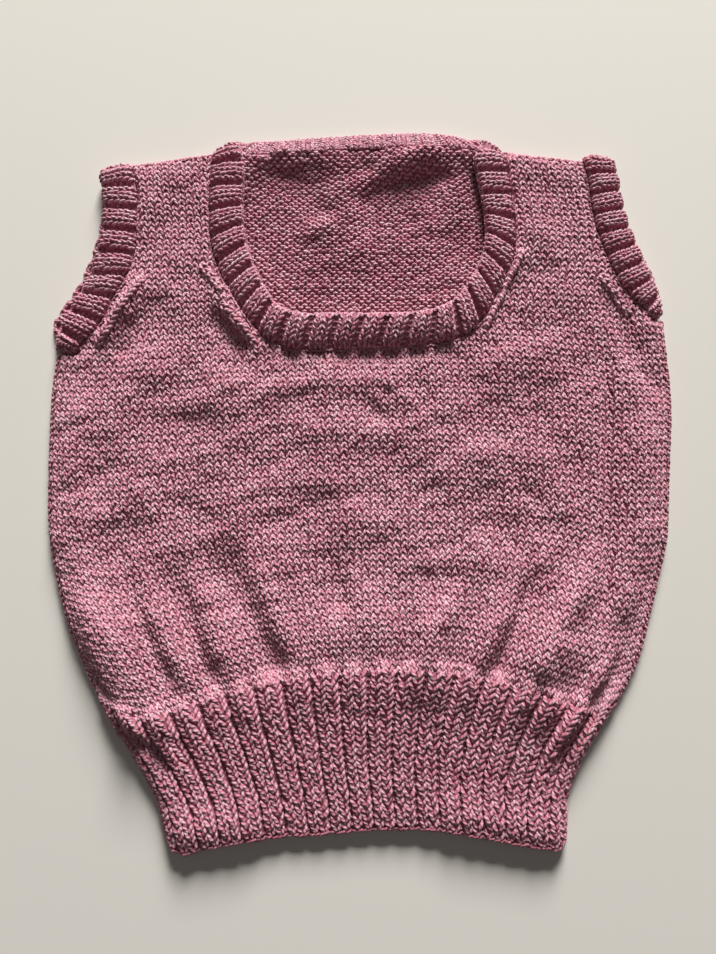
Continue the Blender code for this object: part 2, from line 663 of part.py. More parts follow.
def make_band(band):
    """A closed ring of rib, its outer points raised along each knit rib."""
    ring = ring_of(band)
    edge = ring[:, 0:3]
    free = ring[:, 3:6]
    crown = ring[:, 6:7]
    out = outward(ring, band.facing)
    wave = rib_wave(len(ring))[:, None] * RIB_RELIEF
    loops = []
    for point in BAND_SECTION:
        bow = crown * 4 * point.across * (1 - point.across)
        base = edge + (free - edge) * point.across
        loops.append(base + out * (CLOTH / 2 + bow + wave * point.relief))
    for across in (1.0, 0.5, 0.0):
        bow = crown * 4 * across * (1 - across)
        loops.append(edge + (free - edge) * across + out * (bow - CLOTH / 2))
    section = np.stack(loops, axis=1)
    section[:, :, 2] = np.maximum(section[:, :, 2], 0.0)
    count, sides = section.shape[:2]
    faces = []
    for i in range(count):
        j = (i + 1) % count
        for k in range(sides):
            m = (k + 1) % sides
            quad = (i * sides + k, j * sides + k, j * sides + m, i * sides + m)
            faces.append(quad if band.facing > 0 else quad[::-1])
    new_piece(band.name, section.reshape(-1, 3), faces)


def clear_scene():
    for old in list(bpy.data.objects):
        bpy.data.objects.remove(old, do_unlink=True)


def main():
    clear_scene()
    make_back()
    make_back_welt()
    make_front()
    make_front_welt()
    for band in (NECKBAND, ARMBAND_LEFT, ARMBAND_RIGHT):
        make_band(band)


main()
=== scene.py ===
# %% [markdown]
# # A hand-knitted slipover vest, lying flat
#
# The real vest is worked by hand on two needles in a soft marled wool: a plain knitted
# front and back, a deep ribbed welt below each, and ribbed bands round the neck and the
# armholes. At arm's length the eye reads it stitch by stitch, so this lesson builds real
# stitches: every leg of yarn is its own little arched strand. A picture of stitches on
# flat cloth would be quicker, but it would have no depth at the edges and in the folds.

# %% Load the finished solids
import json
import math
from collections import namedtuple

import bpy
import numpy as np
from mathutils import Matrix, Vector
from mathutils.geometry import delaunay_2d_cdt

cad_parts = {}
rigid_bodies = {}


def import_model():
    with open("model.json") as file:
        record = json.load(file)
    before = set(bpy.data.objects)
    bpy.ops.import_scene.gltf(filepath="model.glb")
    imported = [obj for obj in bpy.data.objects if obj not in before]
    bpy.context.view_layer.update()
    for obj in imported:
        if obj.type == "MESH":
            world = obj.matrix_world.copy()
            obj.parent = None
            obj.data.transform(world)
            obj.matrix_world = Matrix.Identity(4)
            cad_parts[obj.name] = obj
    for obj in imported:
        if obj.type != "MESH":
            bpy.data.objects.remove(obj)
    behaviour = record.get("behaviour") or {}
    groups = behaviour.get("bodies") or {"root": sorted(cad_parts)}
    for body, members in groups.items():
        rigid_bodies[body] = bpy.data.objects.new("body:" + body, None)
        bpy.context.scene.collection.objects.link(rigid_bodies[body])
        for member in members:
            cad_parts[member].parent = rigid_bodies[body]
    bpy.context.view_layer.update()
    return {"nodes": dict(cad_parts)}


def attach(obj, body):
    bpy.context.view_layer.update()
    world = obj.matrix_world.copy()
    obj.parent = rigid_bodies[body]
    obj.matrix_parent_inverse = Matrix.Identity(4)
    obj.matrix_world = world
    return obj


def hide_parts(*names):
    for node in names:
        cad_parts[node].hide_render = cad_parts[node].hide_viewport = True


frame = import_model()
chance = np.random.default_rng(27)
print("solids:", ", ".join(sorted(frame["nodes"])))

# %% [markdown]
# ## Where the numbers come from
#
# A knitter thinks in stitches and rows, and a finisher in millimetres on the table. Both
# are used here. Layout points are in millimetres on the lying vest, x to the right, y to
# the neck and z up. One shift and one scale carry them to the frame of the solids.

# %% The sizes of the cloth
MM = 0.001
CENTRE = np.array([-0.85, -5.6, 0.0])  # moves the middle of the layout to the origin
CLOTH = 2.5  # thickness of one layer
SEAM_GAP = 0.6  # between two pieces that are joined
RIB_RELIEF = 1.9
FOOT = 3.15  # the lowest of the front's edge
EDGE_LIP = 1.0  # how thick the front is at its edge
BACK_TOP = 2.6  # how high the back's upper side lies
FRONT_TOP = 7.9  # how high the front's upper side lies, away from folds
FOLD_RADIUS = 13.0  # how far in from a side the front has rolled up to that height
SEAM_DIP = 0.9  # the front sinks this much at a seam
SEAM_DIP_WIDTH = 3.0

BODY_STITCHES = 82
BODY_ROWS = 85
WELT_STITCHES = 74
WELT_ROWS = 23
BAND_ROWS = 6
RIB = 4  # two knit and two purl stitches make one rib
HALF_STITCH = 0.5 / RIB  # counted in ribs
RIB_MEAN = 0.6  # the mean height of a rib, as a share of its crest's
PANEL_SIZE = (373.0, 315.0)  # a body panel that lies flat on its own
WELT_ROW = 3.78  # height of a row of the welt
YARN = 1.0  # radius of the yarn
stitch_width = PANEL_SIZE[0] / BODY_STITCHES
row_height = PANEL_SIZE[1] / BODY_ROWS
print("stitch:", round(stitch_width, 2), "mm wide,", round(row_height, 2), "mm high")

# %% [markdown]
# ## The outline
#
# The side edges, the gathered line above the welt and the hem are short tables of points
# that a smooth curve joins. The bands are rings of stations: at each one the cloth is
# picked up from the body at the edge and bound off at the free rim.

# %% Sides, gathered line and hem
Level = namedtuple("Level", "y left right")
SIDE_LEVELS = [
    Level(-206.0, -105.2, 115.0),
    Level(-194.0, -108.6, 115.9),
    Level(-183.5, -111.8, 116.6),
    Level(-173.0, -117.8, 119.8),
    Level(-162.0, -124.6, 125.6),
    Level(-151.0, -132.6, 132.2),
    Level(-140.0, -140.2, 140.0),
    Level(-129.0, -146.9, 147.9),
    Level(-107.0, -158.2, 160.4),
    Level(-84.0, -168.2, 168.0),
    Level(-61.0, -175.0, 174.6),
    Level(-38.0, -180.6, 181.0),
    Level(-14.0, -182.9, 183.6),
    Level(10.0, -183.8, 185.6),
    Level(34.0, -184.5, 188.0),
    Level(57.0, -184.3, 188.5),
    Level(71.0, -183.0, 187.6),
    Level(97.0, -183.0, 186.6),
]
# Where the sides would run if the knitting were not shaped at the armholes.
STRAP_LEVELS = [
    Level(120.0, -184.5, 190.0),
    Level(150.0, -184.3, 195.3),
    Level(187.0, -186.6, 191.6),
    Level(206.0, -187.2, 190.0),
]
LEFT_UNDERARM = 74.0
RIGHT_UNDERARM = 96.0

Point = namedtuple("Point", "x y")
WELT_TOP = [
    Point(-147.0, -129.0),
    Point(-132.0, -135.0),
    Point(-117.0, -136.5),
    Point(-100.0, -131.5),
    Point(-72.0, -123.0),
    Point(-33.0, -115.0),
    Point(12.5, -111.2),
    Point(58.0, -113.2),
    Point(97.0, -122.5),
    Point(120.0, -130.5),
    Point(134.0, -132.5),
    Point(148.0, -129.0),
]
HEM = [
    Point(-105.2, -206.0),
    Point(-98.0, -210.2),
    Point(-84.0, -207.6),
    Point(-56.0, -203.0),
    Point(-20.0, -200.4),
    Point(12.0, -198.0),
    Point(46.0, -198.4),
    Point(74.0, -202.6),
    Point(98.0, -206.8),
    Point(110.0, -208.4),
    Point(115.0, -206.0),
]
widest = max(level.right - level.left for level in SIDE_LEVELS)
print("widest:", round(widest, 1), "mm")

# %% The bands
# A station's edge is picked up from the body and its free end is bound off. The crown is
# how far the band bows up between the two.
Station = namedtuple("Station", "edge_x edge_y edge_z free_x free_y free_z crown")
LEFT_ARM_STATIONS = [
    Station(-171.6, 77.4, 4.0, -183.6, 79.8, 4.0, 0.3),
    Station(-170.0, 80.0, 6.3, -182.0, 86.5, 6.0, 0.5),
    Station(-164.4, 86.0, 6.6, -179.6, 94.0, 6.5, 0.6),
    Station(-157.4, 95.8, 6.6, -175.5, 103.0, 6.6, 0.6),
    Station(-150.4, 110.2, 6.6, -170.4, 113.0, 6.6, 0.6),
    Station(-143.4, 124.2, 6.6, -164.8, 123.5, 6.6, 0.6),
    Station(-138.6, 144.0, 6.6, -160.2, 146.0, 6.6, 0.6),
    Station(-138.4, 157.0, 6.6, -158.8, 158.5, 6.6, 0.6),
    Station(-138.4, 174.0, 6.6, -159.2, 175.0, 6.6, 0.6),
    Station(-141.3, 190.0, 6.6, -161.0, 186.5, 6.5, 0.6),
    Station(-143.2, 195.8, 6.2, -162.0, 190.2, 6.0, 0.4),
    Station(-143.6, 197.9, 4.0, -162.3, 192.2, 4.0, 0.2),
    Station(-143.2, 195.8, 1.7, -162.0, 190.0, 1.7, 0.0),
    Station(-141.3, 189.0, 1.5, -161.0, 185.0, 1.5, 0.0),
    Station(-139.4, 172.0, 1.5, -160.6, 170.0, 1.5, 0.0),
    Station(-141.0, 146.0, 1.5, -163.4, 148.0, 1.5, 0.0),
    Station(-147.0, 123.0, 1.5, -171.6, 123.0, 1.5, 0.0),
    Station(-157.0, 104.0, 1.5, -180.4, 107.5, 1.5, 0.0),
    Station(-164.6, 89.5, 1.5, -186.6, 96.0, 1.7, 0.0),
    Station(-170.0, 80.2, 1.7, -185.6, 85.0, 2.0, 0.0),
]
RIGHT_ARM_STATIONS = [
    Station(179.4, 98.4, 4.0, 185.4, 103.0, 4.0, 0.3),
    Station(177.4, 101.0, 6.2, 184.6, 109.0, 5.4, 0.5),
    Station(172.0, 107.0, 6.6, 182.6, 116.0, 6.2, 0.6),
    Station(164.0, 117.0, 6.6, 179.6, 124.5, 6.5, 0.6),
    Station(158.0, 128.0, 6.6, 175.4, 136.0, 6.6, 0.6),
    Station(153.0, 142.5, 6.6, 171.0, 148.0, 6.6, 0.6),
    Station(149.0, 158.0, 6.6, 167.0, 161.0, 6.6, 0.6),
    Station(147.0, 172.0, 6.6, 164.4, 175.0, 6.6, 0.6),
    Station(145.4, 188.0, 6.6, 162.8, 189.0, 6.6, 0.6),
    Station(143.2, 200.6, 6.2, 161.0, 197.6, 6.0, 0.4),
    Station(142.8, 203.0, 4.0, 160.2, 199.8, 4.0, 0.2),
    Station(143.2, 200.6, 1.7, 160.6, 197.4, 1.7, 0.0),
    Station(145.4, 188.0, 1.5, 162.8, 187.0, 1.5, 0.0),
    Station(147.4, 170.0, 1.5, 165.0, 172.0, 1.5, 0.0),
    Station(151.0, 150.0, 1.5, 170.4, 154.0, 1.5, 0.0),
    Station(158.0, 130.0, 1.5, 178.0, 138.0, 1.5, 0.0),
    Station(167.0, 114.0, 1.5, 184.0, 123.0, 1.5, 0.0),
    Station(177.4, 101.2, 1.7, 187.0, 108.5, 1.8, 0.0),
]
NECK_STATIONS = [
    Station(-91.0, 204.6, 4.0, -76.0, 211.0, 6.4, 0.6),
    Station(-91.8, 200.4, 6.3, -72.4, 203.6, 8.0, 0.8),
    Station(-92.6, 187.0, 6.6, -72.0, 187.8, 7.8, 0.8),
    Station(-92.6, 167.0, 6.6, -72.3, 170.6, 7.8, 0.8),
    Station(-91.0, 147.0, 6.6, -71.4, 155.4, 8.0, 0.8),
    Station(-85.2, 128.0, 6.6, -68.0, 140.6, 8.3, 0.8),
    Station(-77.2, 113.0, 6.6, -62.5, 126.0, 8.6, 0.8),
    Station(-68.0, 98.0, 6.6, -55.8, 113.3, 8.9, 0.8),
    Station(-57.0, 85.6, 6.6, -48.2, 103.3, 9.6, 0.8),
    Station(-41.0, 79.0, 6.4, -34.8, 98.6, 10.3, 0.8),
    Station(-17.0, 78.4, 6.2, -12.0, 98.2, 10.9, 0.8),
    Station(7.0, 79.4, 6.2, 13.0, 98.2, 10.9, 0.8),
    Station(31.5, 80.4, 6.2, 37.0, 99.4, 10.9, 0.8),
    Station(54.0, 82.8, 6.4, 53.0, 104.0, 10.2, 0.8),
    Station(68.0, 88.6, 6.6, 61.8, 110.7, 9.2, 0.8),
    Station(78.6, 101.3, 6.6, 69.0, 120.5, 8.8, 0.8),
    Station(87.2, 116.4, 6.6, 75.0, 132.1, 8.5, 0.8),
    Station(95.2, 133.0, 6.6, 79.0, 145.3, 8.2, 0.8),
    Station(97.6, 150.0, 6.6, 79.6, 157.0, 8.0, 0.8),
    Station(96.8, 170.0, 6.6, 78.3, 170.6, 7.8, 0.8),
    Station(94.7, 187.0, 6.6, 75.7, 186.8, 7.8, 0.8),
    Station(92.0, 202.0, 6.3, 73.6, 202.0, 8.0, 0.8),
    Station(91.2, 206.4, 4.2, 77.4, 211.8, 6.4, 0.6),
    Station(84.6, 207.8, 2.0, 69.6, 216.0, 3.6, 1.0),
    Station(74.0, 208.0, 1.5, 62.5, 218.8, 2.4, 1.6),
    Station(57.0, 209.4, 1.5, 51.0, 220.6, 2.0, 2.0),
    Station(39.5, 210.0, 1.5, 38.0, 221.4, 2.0, 2.2),
    Station(14.0, 208.7, 1.5, 14.0, 220.6, 2.0, 2.2),
    Station(-11.5, 207.2, 1.5, -11.5, 219.0, 2.0, 2.2),
    Station(-37.0, 206.0, 1.5, -37.0, 217.2, 2.0, 2.2),
    Station(-58.0, 204.4, 1.5, -53.5, 215.6, 2.0, 1.8),
    Station(-73.0, 203.6, 1.5, -63.0, 215.2, 2.6, 1.4),
    Station(-84.0, 203.8, 1.8, -69.4, 214.4, 3.8, 1.0),
]
# Facing is -1 where the stations run round the ring the other way. Scallop is how much
# further out a knit rib reaches than its valley, as a share of the band's width.
Band = namedtuple("Band", "name stations ribs facing scallop")
NECKBAND = Band("neckband", NECK_STATIONS, ribs=35, facing=1, scallop=0.02)
ARMBAND_LEFT = Band("armband_left", LEFT_ARM_STATIONS, ribs=17, facing=1, scallop=0.07)
ARMBAND_RIGHT = Band("armband_right", RIGHT_ARM_STATIONS, ribs=17, facing=-1, scallop=0.07)
BANDS = (NECKBAND, ARMBAND_LEFT, ARMBAND_RIGHT)
for band in BANDS:
    print(band.name, "has", band.ribs, "ribs and", len(band.stations), "stations")

# %% Curves through the tables
TINY = 1e-12  # keeps a division by no length at all harmless
SHORTEST_CHORD = 1e-9
FAR = 1e9  # further than any point is from any line
END_GAP = 0.5  # points of a table this close to an end give way to the end


def smooth(rows, closed=False, steps=14):
    """A smooth curve through rows of numbers, even where they are unevenly spaced."""
    rows = np.array(rows, float)
    count = len(rows)
    after = np.roll(rows, -1, axis=0) - rows
    chord = np.sqrt(np.linalg.norm(after, axis=1))[:, None] + SHORTEST_CHORD
    slope = after / chord
    if closed:
        before = np.roll(slope, 1, axis=0)
        span_before = np.roll(chord, 1, axis=0)
    else:
        slope[-1] = slope[-2]
        chord[-1] = chord[-2]
        before = np.vstack([slope[:1], slope[:-1]])
        span_before = np.vstack([chord[:1], chord[:-1]])
    tangent = (before * chord + slope * span_before) / (chord + span_before)
    curve = []
    for i in range(count if closed else count - 1):
        j = (i + 1) % count
        for t in np.arange(steps) / steps:
            curve.append(
                (2 * t**3 - 3 * t**2 + 1) * rows[i]
                + (t**3 - 2 * t**2 + t) * chord[i] * tangent[i]
                + (3 * t**2 - 2 * t**3) * rows[j]
                + (t**3 - t**2) * chord[i] * tangent[j]
            )
    if not closed:
        curve.append(rows[-1])
    return np.array(curve)


def evenly(curve, count, closed=False, measure=None):
    """Count points spaced evenly along a curve, by the length of its measured columns."""
    run = np.vstack([curve, curve[:1]]) if closed else curve
    seen = run if measure is None else measure(run)
    length = np.concatenate([[0], np.cumsum(np.linalg.norm(np.diff(seen, axis=0), axis=1))])
    if closed:
        wanted = np.linspace(0, length[-1], count + 1)[:-1]
    else:
        wanted = np.linspace(0, length[-1], count)
    return np.column_stack([np.interp(wanted, length, column) for column in run.T])


def spaced(curve, spacing):
    """Points about one spacing apart along an open curve, with both of its ends."""
    length = np.linalg.norm(np.diff(curve, axis=0), axis=1).sum()
    return evenly(curve, max(2, round(length / spacing) + 1))


def side_line(side, low, high):
    """The left or right edge of the body between two heights."""
    curve = smooth([(getattr(level, side), level.y) for level in SIDE_LEVELS])
    within = curve[(curve[:, 1] > low + END_GAP) & (curve[:, 1] < high - END_GAP)]
    ends = [[np.interp(y, curve[:, 1], curve[:, 0]), y] for y in (low, high)]
    return np.vstack([ends[:1], within, ends[1:]])


# %% Distances and insides
def distance_to(points, line, closed=False):
    """How far each point is from a broken line."""
    line = np.vstack([line, line[:1]]) if closed else line
    nearest = np.full(len(points), FAR)
    for start, end in zip(line[:-1], line[1:]):
        along = end - start
        gap = points - start
        share = np.clip(gap @ along / (along @ along + TINY), 0, 1)
        apart = gap - share[:, None] * along
        nearest = np.minimum(nearest, np.hypot(apart[:, 0], apart[:, 1]))
    return nearest


def inside(points, loop):
    """Whether each point is inside a closed loop."""
    found = np.zeros(len(points), bool)
    for (x0, y0), (x1, y1) in zip(loop, np.roll(loop, -1, axis=0)):
        crosses = (y0 > points[:, 1]) != (y1 > points[:, 1])
        level = (points[:, 1] - y0) / (y1 - y0 + TINY)
        found ^= crosses & (points[:, 0] < x0 + level * (x1 - x0))
    return found


# %% Round a band
def middle_line(rows):
    """The line halfway between the picked-up edge and the free rim."""
    return (rows[:, 0:3] + rows[:, 3:6]) / 2


def ring_of(band, per_rib):
    """A band's stations spread evenly round its ring."""
    curve = smooth(band.stations, closed=True)
    return evenly(curve, band.ribs * per_rib, closed=True, measure=middle_line)


def unit(vectors):
    """The same directions, each one long."""
    return vectors / (np.linalg.norm(vectors, axis=-1, keepdims=True) + TINY)


def outward(ring, facing):
    """The unit direction out of a band's cloth at each row of its ring."""
    middle = middle_line(ring)
    along = np.roll(middle, -1, axis=0) - np.roll(middle, 1, axis=0)
    return unit(np.cross(along, ring[:, 3:6] - ring[:, 0:3]) * facing)


def seam_line(band, layer):
    """The body's edge beside the front or back half of a band, one seam gap away from it."""
    ring = ring_of(band, RIB)
    along = unit(np.roll(ring[:, 0:2], -1, axis=0) - np.roll(ring[:, 0:2], 1, axis=0))
    across = ring[:, 3:5] - ring[:, 0:2]
    across = unit(across - (across * along).sum(axis=1)[:, None] * along)
    lean = np.abs((outward(ring, band.facing)[:, 0:2] * across).sum(axis=1))
    edge = ring[:, 0:2] - (SEAM_GAP + lean * CLOTH / 2)[:, None] * across
    level = (FRONT_TOP - CLOTH / 2 + BACK_TOP / 2) / 2
    beside = ring[:, 2] > level if layer == "front" else ring[:, 2] <= level
    first = next(i for i in range(len(beside)) if beside[i] and not beside[i - 1])
    return edge[[(first + i) % len(beside) for i in range(int(beside.sum()))]]


def underarm_corner(band):
    """The corner of the body under the fold of an armband, whose first station it is."""
    ring = ring_of(band, RIB)
    reach = CLOTH / 2 + RIB_RELIEF + SEAM_GAP
    return ring[0, 0:2] + outward(ring, band.facing)[0, 0:2] * reach


# %% The two panels
EDGE_SPACING = 4.0
SAME_POINT = 1.0  # points closer than this are one


def panel_outline(layer):
    """The runs of one body panel's outline, anticlockwise from its lower left corner."""
    right = side_line("right", WELT_TOP[-1].y, RIGHT_UNDERARM)
    left = side_line("left", WELT_TOP[0].y, LEFT_UNDERARM)
    right_arm = seam_line(ARMBAND_RIGHT, layer)
    left_arm = seam_line(ARMBAND_LEFT, layer)
    neck = seam_line(NECKBAND, layer)
    if layer == "front":
        neck = neck[::-1]
        left_arm = left_arm[::-1]
    else:
        right_arm = right_arm[::-1]
    return [
        ("seam", spaced(smooth(WELT_TOP), EDGE_SPACING)),
        ("fold", spaced(right, EDGE_SPACING)),
        ("seam", [underarm_corner(ARMBAND_RIGHT)]),
        ("seam", right_arm),
        ("fold", spaced(np.array([right_arm[-1], neck[0]]), EDGE_SPACING)),
        ("seam", neck),
        ("fold", spaced(np.array([neck[-1], left_arm[0]]), EDGE_SPACING)),
        ("seam", left_arm),
        ("seam", [underarm_corner(ARMBAND_LEFT)]),
        ("fold", spaced(left[::-1], EDGE_SPACING)),
    ]


def closed_loop(runs):
    """The runs joined into one loop of points, and the parts of it that are folds or seams."""
    points = []
    folds = []
    seams = []
    for kind, run in runs:
        for point in run:
            if not points or np.hypot(*(np.array(points[-1]) - point)) > SAME_POINT:
                points.append(tuple(point))
        if kind == "fold":
            folds.append(np.array(run))
        elif len(run) > 1:
            seams.append(np.array(run))
    if np.hypot(*(np.array(points[-1]) - points[0])) < SAME_POINT:
        points.pop()
    return np.array(points), folds, seams[1:]


FRONT_LOOP, FRONT_EDGES, FRONT_SEAMS = closed_loop(panel_outline("front"))
BACK_LOOP, _, _ = closed_loop(panel_outline("back"))
print("front outline:", len(FRONT_LOOP), "points; back outline:", len(BACK_LOOP), "points")

# %% [markdown]
# ## How the cloth lies
#
# A knitted front never lies dead flat. It is drawn in above the welt, so soft puffs run
# down into the gathers, and it puckers beside the shaped edges. Each of these is listed as
# a ridge or a trough that dies away over its width, like strokes of a thumb. A
# cloth simulation could wrinkle the sheet, but not where this vest is wrinkled.

# %% Ridges and troughs of the front
# Each point of a path is x, y and the share of the full lift that is reached there.
Fold = namedtuple("Fold", "name lift width path")
FRONT_FOLDS = [
    Fold("billow over the welt", 3.8, 24.0, [(-128, -98, 1), (0, -92, 1), (126, -96, 1)]),
    Fold("belly", 1.0, 70.0, [(-60, 20, 1), (70, -20, 1)]),
    # From the left corner to the middle, each ridge and the trough to its right.
    Fold("corner bulge", 5.4, 12.0,
         [(-168, -40, 0), (-154, -78, 1), (-141, -98, 1), (-126, -120, 1), (-117, -134, 0.8)]),
    Fold("swell at the left corner", 2.8, 9.0,
         [(-154, -100, 0.5), (-142, -118, 1), (-134, -130, 1)]),
    Fold("first trough", -3.0, 5.5,
         [(-140, -40, 0.3), (-130, -70, 1), (-119, -94, 1), (-108, -115, 0.9)]),
    Fold("second ridge", 2.2, 7.5,
         [(-132, -44, 0), (-120, -80, 0.8), (-107, -102, 1), (-96, -118, 1)]),
    Fold("second trough", -4.8, 7.5,
         [(-110, -52, 0.2), (-102, -72, 1), (-92, -97, 1), (-85, -113, 0.8)]),
    Fold("third ridge", 2.2, 8.0, [(-102, -34, 0), (-92, -68, 0.9), (-83, -92, 1), (-73, -113, 1)]),
    Fold("third trough", -6.0, 9.5,
         [(-80, -40, 0), (-69, -62, 0.9), (-58, -86, 1), (-47, -106, 1)]),
    Fold("fourth ridge", 3.0, 9.0, [(-74, -20, 0), (-60, -60, 0.8), (-50, -84, 1), (-36, -106, 1)]),
    Fold("long soft ridge", 1.4, 13.0, [(-96, 18, 0), (-78, -16, 1), (-66, -44, 0)]),
    Fold("crease above the lone dimple", -0.8, 5.0, [(-34, 8, 0), (-20, -28, 1), (-12, -62, 1)]),
    Fold("lone dimple", -3.0, 5.5, [(-11, -66, 1), (-9, -74, 1)]),
    Fold("ridge right of the dimple", 1.4, 8.0, [(-8, -44, 0), (2, -72, 1), (0, -100, 0)]),
    # The right half, whose ridges lean the other way.
    Fold("small trough", -1.8, 5.0, [(30, -76, 0), (30, -92, 1), (27, -106, 1)]),
    Fold("centre ridge", 4.8, 8.5, [(60, -60, 0), (50, -78, 0.9), (43, -91, 1), (40, -107, 1)]),
    Fold("soft trough", -0.8, 7.0, [(70, -62, 0), (62, -86, 1), (54, -106, 1)]),
    Fold("ridge before the right trough", 4.2, 7.0, [(94, -46, 0), (83, -82, 0.9), (70, -106, 1)]),
    Fold("right trough", -4.6, 5.5, [(106, -52, 0), (99, -68, 0.9), (91, -86, 1), (79, -109, 0.8)]),
    Fold("right gather ridge", 7.6, 8.5,
         [(142, -38, 0), (127, -66, 0.8), (113, -88, 1), (101, -108, 0.9), (97, -116, 0.6)]),
    Fold("fall to the right corner", -4.8, 11.0,
         [(184, -30, 0), (175, -62, 0.6), (165, -90, 1), (154, -110, 0.9)]),
    Fold("swell beside the right ridge", 4.4, 7.5,
         [(118, -100, 0.5), (109, -112, 1), (107, -124, 1)]),
    Fold("streak at the right corner", 3.0, 4.2, [(150, -97, 0), (138, -113, 1), (124, -130, 1)]),
    Fold("groove at the right corner", -3.8, 3.8, [(158, -96, 0), (146, -116, 1), (134, -132, 1)]),
    Fold("groove at the left corner", -2.4, 4.0,
         [(-162, -94, 0), (-150, -116, 1), (-142, -128, 1)]),
    Fold("ridge across, right", 1.1, 8.0, [(10, -54, 0), (40, -50, 1), (66, -48, 1), (92, -44, 0)]),
    # Above the gathers the cloth only ripples.
    Fold("swell of the left side", 3.6, 9.0,
         [(-158, -66, 0.2), (-167, -24, 1), (-169, 30, 1), (-169, 64, 0.4)]),
    Fold("swell of the right side", 3.6, 9.0,
         [(168, 66, 0.3), (169, 20, 1), (165, -30, 1), (154, -74, 0.7)]),
    Fold("crease down the right side", -5.4, 3.4,
         [(152, 92, 0), (150, 60, 1), (148, 0, 1), (144, -66, 0.7), (138, -96, 0)]),
    Fold("swell left of the crease", 1.2, 10.0, [(136, 64, 0), (135, 30, 1), (134, 0, 0)]),
    Fold("valley under the right armhole", -3.6, 7.0,
         [(148, 120, 0), (158, 98, 1), (168, 76, 1), (174, 60, 0)]),
    Fold("pucker at the right side", -4.4, 6.0, [(164, 68, 0), (186, 52, 1)]),
    Fold("hollow under the neckband", -3.2, 5.0, [(-42, 75, 1), (58, 75, 1)]),
    Fold("swell under the neck", 2.8, 7.5,
         [(-70, 46, 0), (-40, 54, 1), (-10, 57, 1), (20, 52, 1), (44, 44, 0)]),
    Fold("dimples under the neck", -2.2, 4.0, [(12, 54, 1), (18, 50, 1)]),
    Fold("lower dimple under the neck", -1.8, 4.0, [(11, 38, 1), (15, 36, 1)]),
    Fold("ridge on the left chest", 1.7, 7.0,
         [(-130, 40, 0), (-110, 42, 1), (-92, 45, 1), (-76, 44, 0)]),
    Fold("slanting ripple on the left", 1.2, 7.0, [(-150, 58, 0), (-110, 66, 1), (-70, 62, 0)]),
    Fold("ridge across the middle", 1.5, 8.0,
         [(-44, -6, 0), (-16, -3, 1), (12, -1, 1), (34, -2, 0)]),
    Fold("long ripple across the middle", 0.8, 9.0,
         [(-90, 18, 0), (-20, 26, 1), (30, 22, 1), (90, 12, 0)]),
    Fold("ridge left of the middle", 1.2, 8.0, [(-140, 4, 0), (-112, 12, 1), (-84, 20, 0)]),
    Fold("ridge on the right chest", 1.5, 8.0, [(60, 18, 0), (94, 10, 1), (124, 2, 0)]),
    Fold("slanting ripple on the right", 1.4, 8.0, [(54, 54, 0), (96, 72, 1), (130, 90, 0)]),
    Fold("dimple on the right", -1.8, 7.0, [(99, -10, 1), (105, -13, 1)]),
    Fold("dimple on the left", -1.2, 9.0, [(-96, -22, 1), (-86, -26, 1)]),
    Fold("left armhole decreases", 2.6, 5.0,
         [(-156, 79.5, 0), (-152, 86, 0.9), (-136, 113, 1), (-131, 121, 0)]),
    Fold("valley beside left decreases", -2.6, 7.0, [(-142, 77, 1), (-126, 105, 1)]),
    Fold("left neck decreases", 2.8, 6.0,
         [(-92, 121, 0), (-84, 108, 1), (-62, 80, 1), (-55, 71, 0.2)]),
    Fold("left neck hollow", -3.4, 7.0, [(-84.3, 92.9, 1), (-70.6, 80.8, 1)]),
    Fold("right neck decreases", 2.4, 6.0,
         [(102, 145, 0), (97, 135, 1), (80, 98, 1), (77, 90, 0.2)]),
    Fold("hollow in the left strap", -3.0, 9.0, [(-120, 190, 0), (-112, 165, 1), (-106, 150, 0.4)]),
]
WELT_FOLDS = [
    Fold("left welt groove", -4.8, 4.2,
         [(-138, -136, 0.8), (-125, -147, 1), (-113, -156, 1), (-104, -174, 0)]),
    Fold("ridge beside the left groove", 2.6, 4.8,
         [(-128, -135, 1), (-114, -148, 1), (-98, -166, 0)]),
    Fold("small left groove", -2.6, 3.8,
         [(-121, -137, 1), (-110, -146, 1), (-100, -154, 0.8), (-92, -166, 0)]),
    Fold("right welt groove", -3.6, 4.0, [(119, -126, 0.8), (110, -141, 1), (98, -164, 0)]),
    Fold("ridge beside the right groove", 1.6, 6.0, [(122, -128, 1), (98, -164, 0)]),
    Fold("ridge between the right grooves", 3.0, 4.5,
         [(126, -126, 1), (112, -145, 1), (102, -166, 0)]),
    Fold("outer right groove", -4.4, 3.8,
         [(136, -130, 1), (126, -142, 1), (116, -156, 1), (107, -176, 0)]),
    Fold("lifted left corner of the hem", 3.6, 14.0, [(-96, -200, 1), (-66, -198, 1)]),
    Fold("lifted right corner of the hem", 3.2, 14.0, [(56, -194, 1), (104, -200, 1)]),
]
WELT_TOP_HEIGHT = 12.0
WELT_HEM_HEIGHT = 5.2
WELT_INNER_HEIGHT = 3.7
FRONT_FLOOR = 5.5  # no trough goes deeper than this

RUMPLE_SLOPE = 0.034  # how steep every wave of the unevenness is
RUMPLE_WAVES = 26
RUMPLE_LENGTHS = (16.0, 70.0)
PUCKER_WAVES = 16
PUCKER_LENGTHS = (9.0, 16.0)
all_waves = RUMPLE_WAVES + PUCKER_WAVES
wave_length = np.concatenate([
    chance.uniform(*RUMPLE_LENGTHS, RUMPLE_WAVES),
    chance.uniform(*PUCKER_LENGTHS, PUCKER_WAVES),
])
wave_turn = chance.uniform(0.0, math.pi, all_waves)
wave_start = chance.uniform(0.0, 2 * math.pi, all_waves)

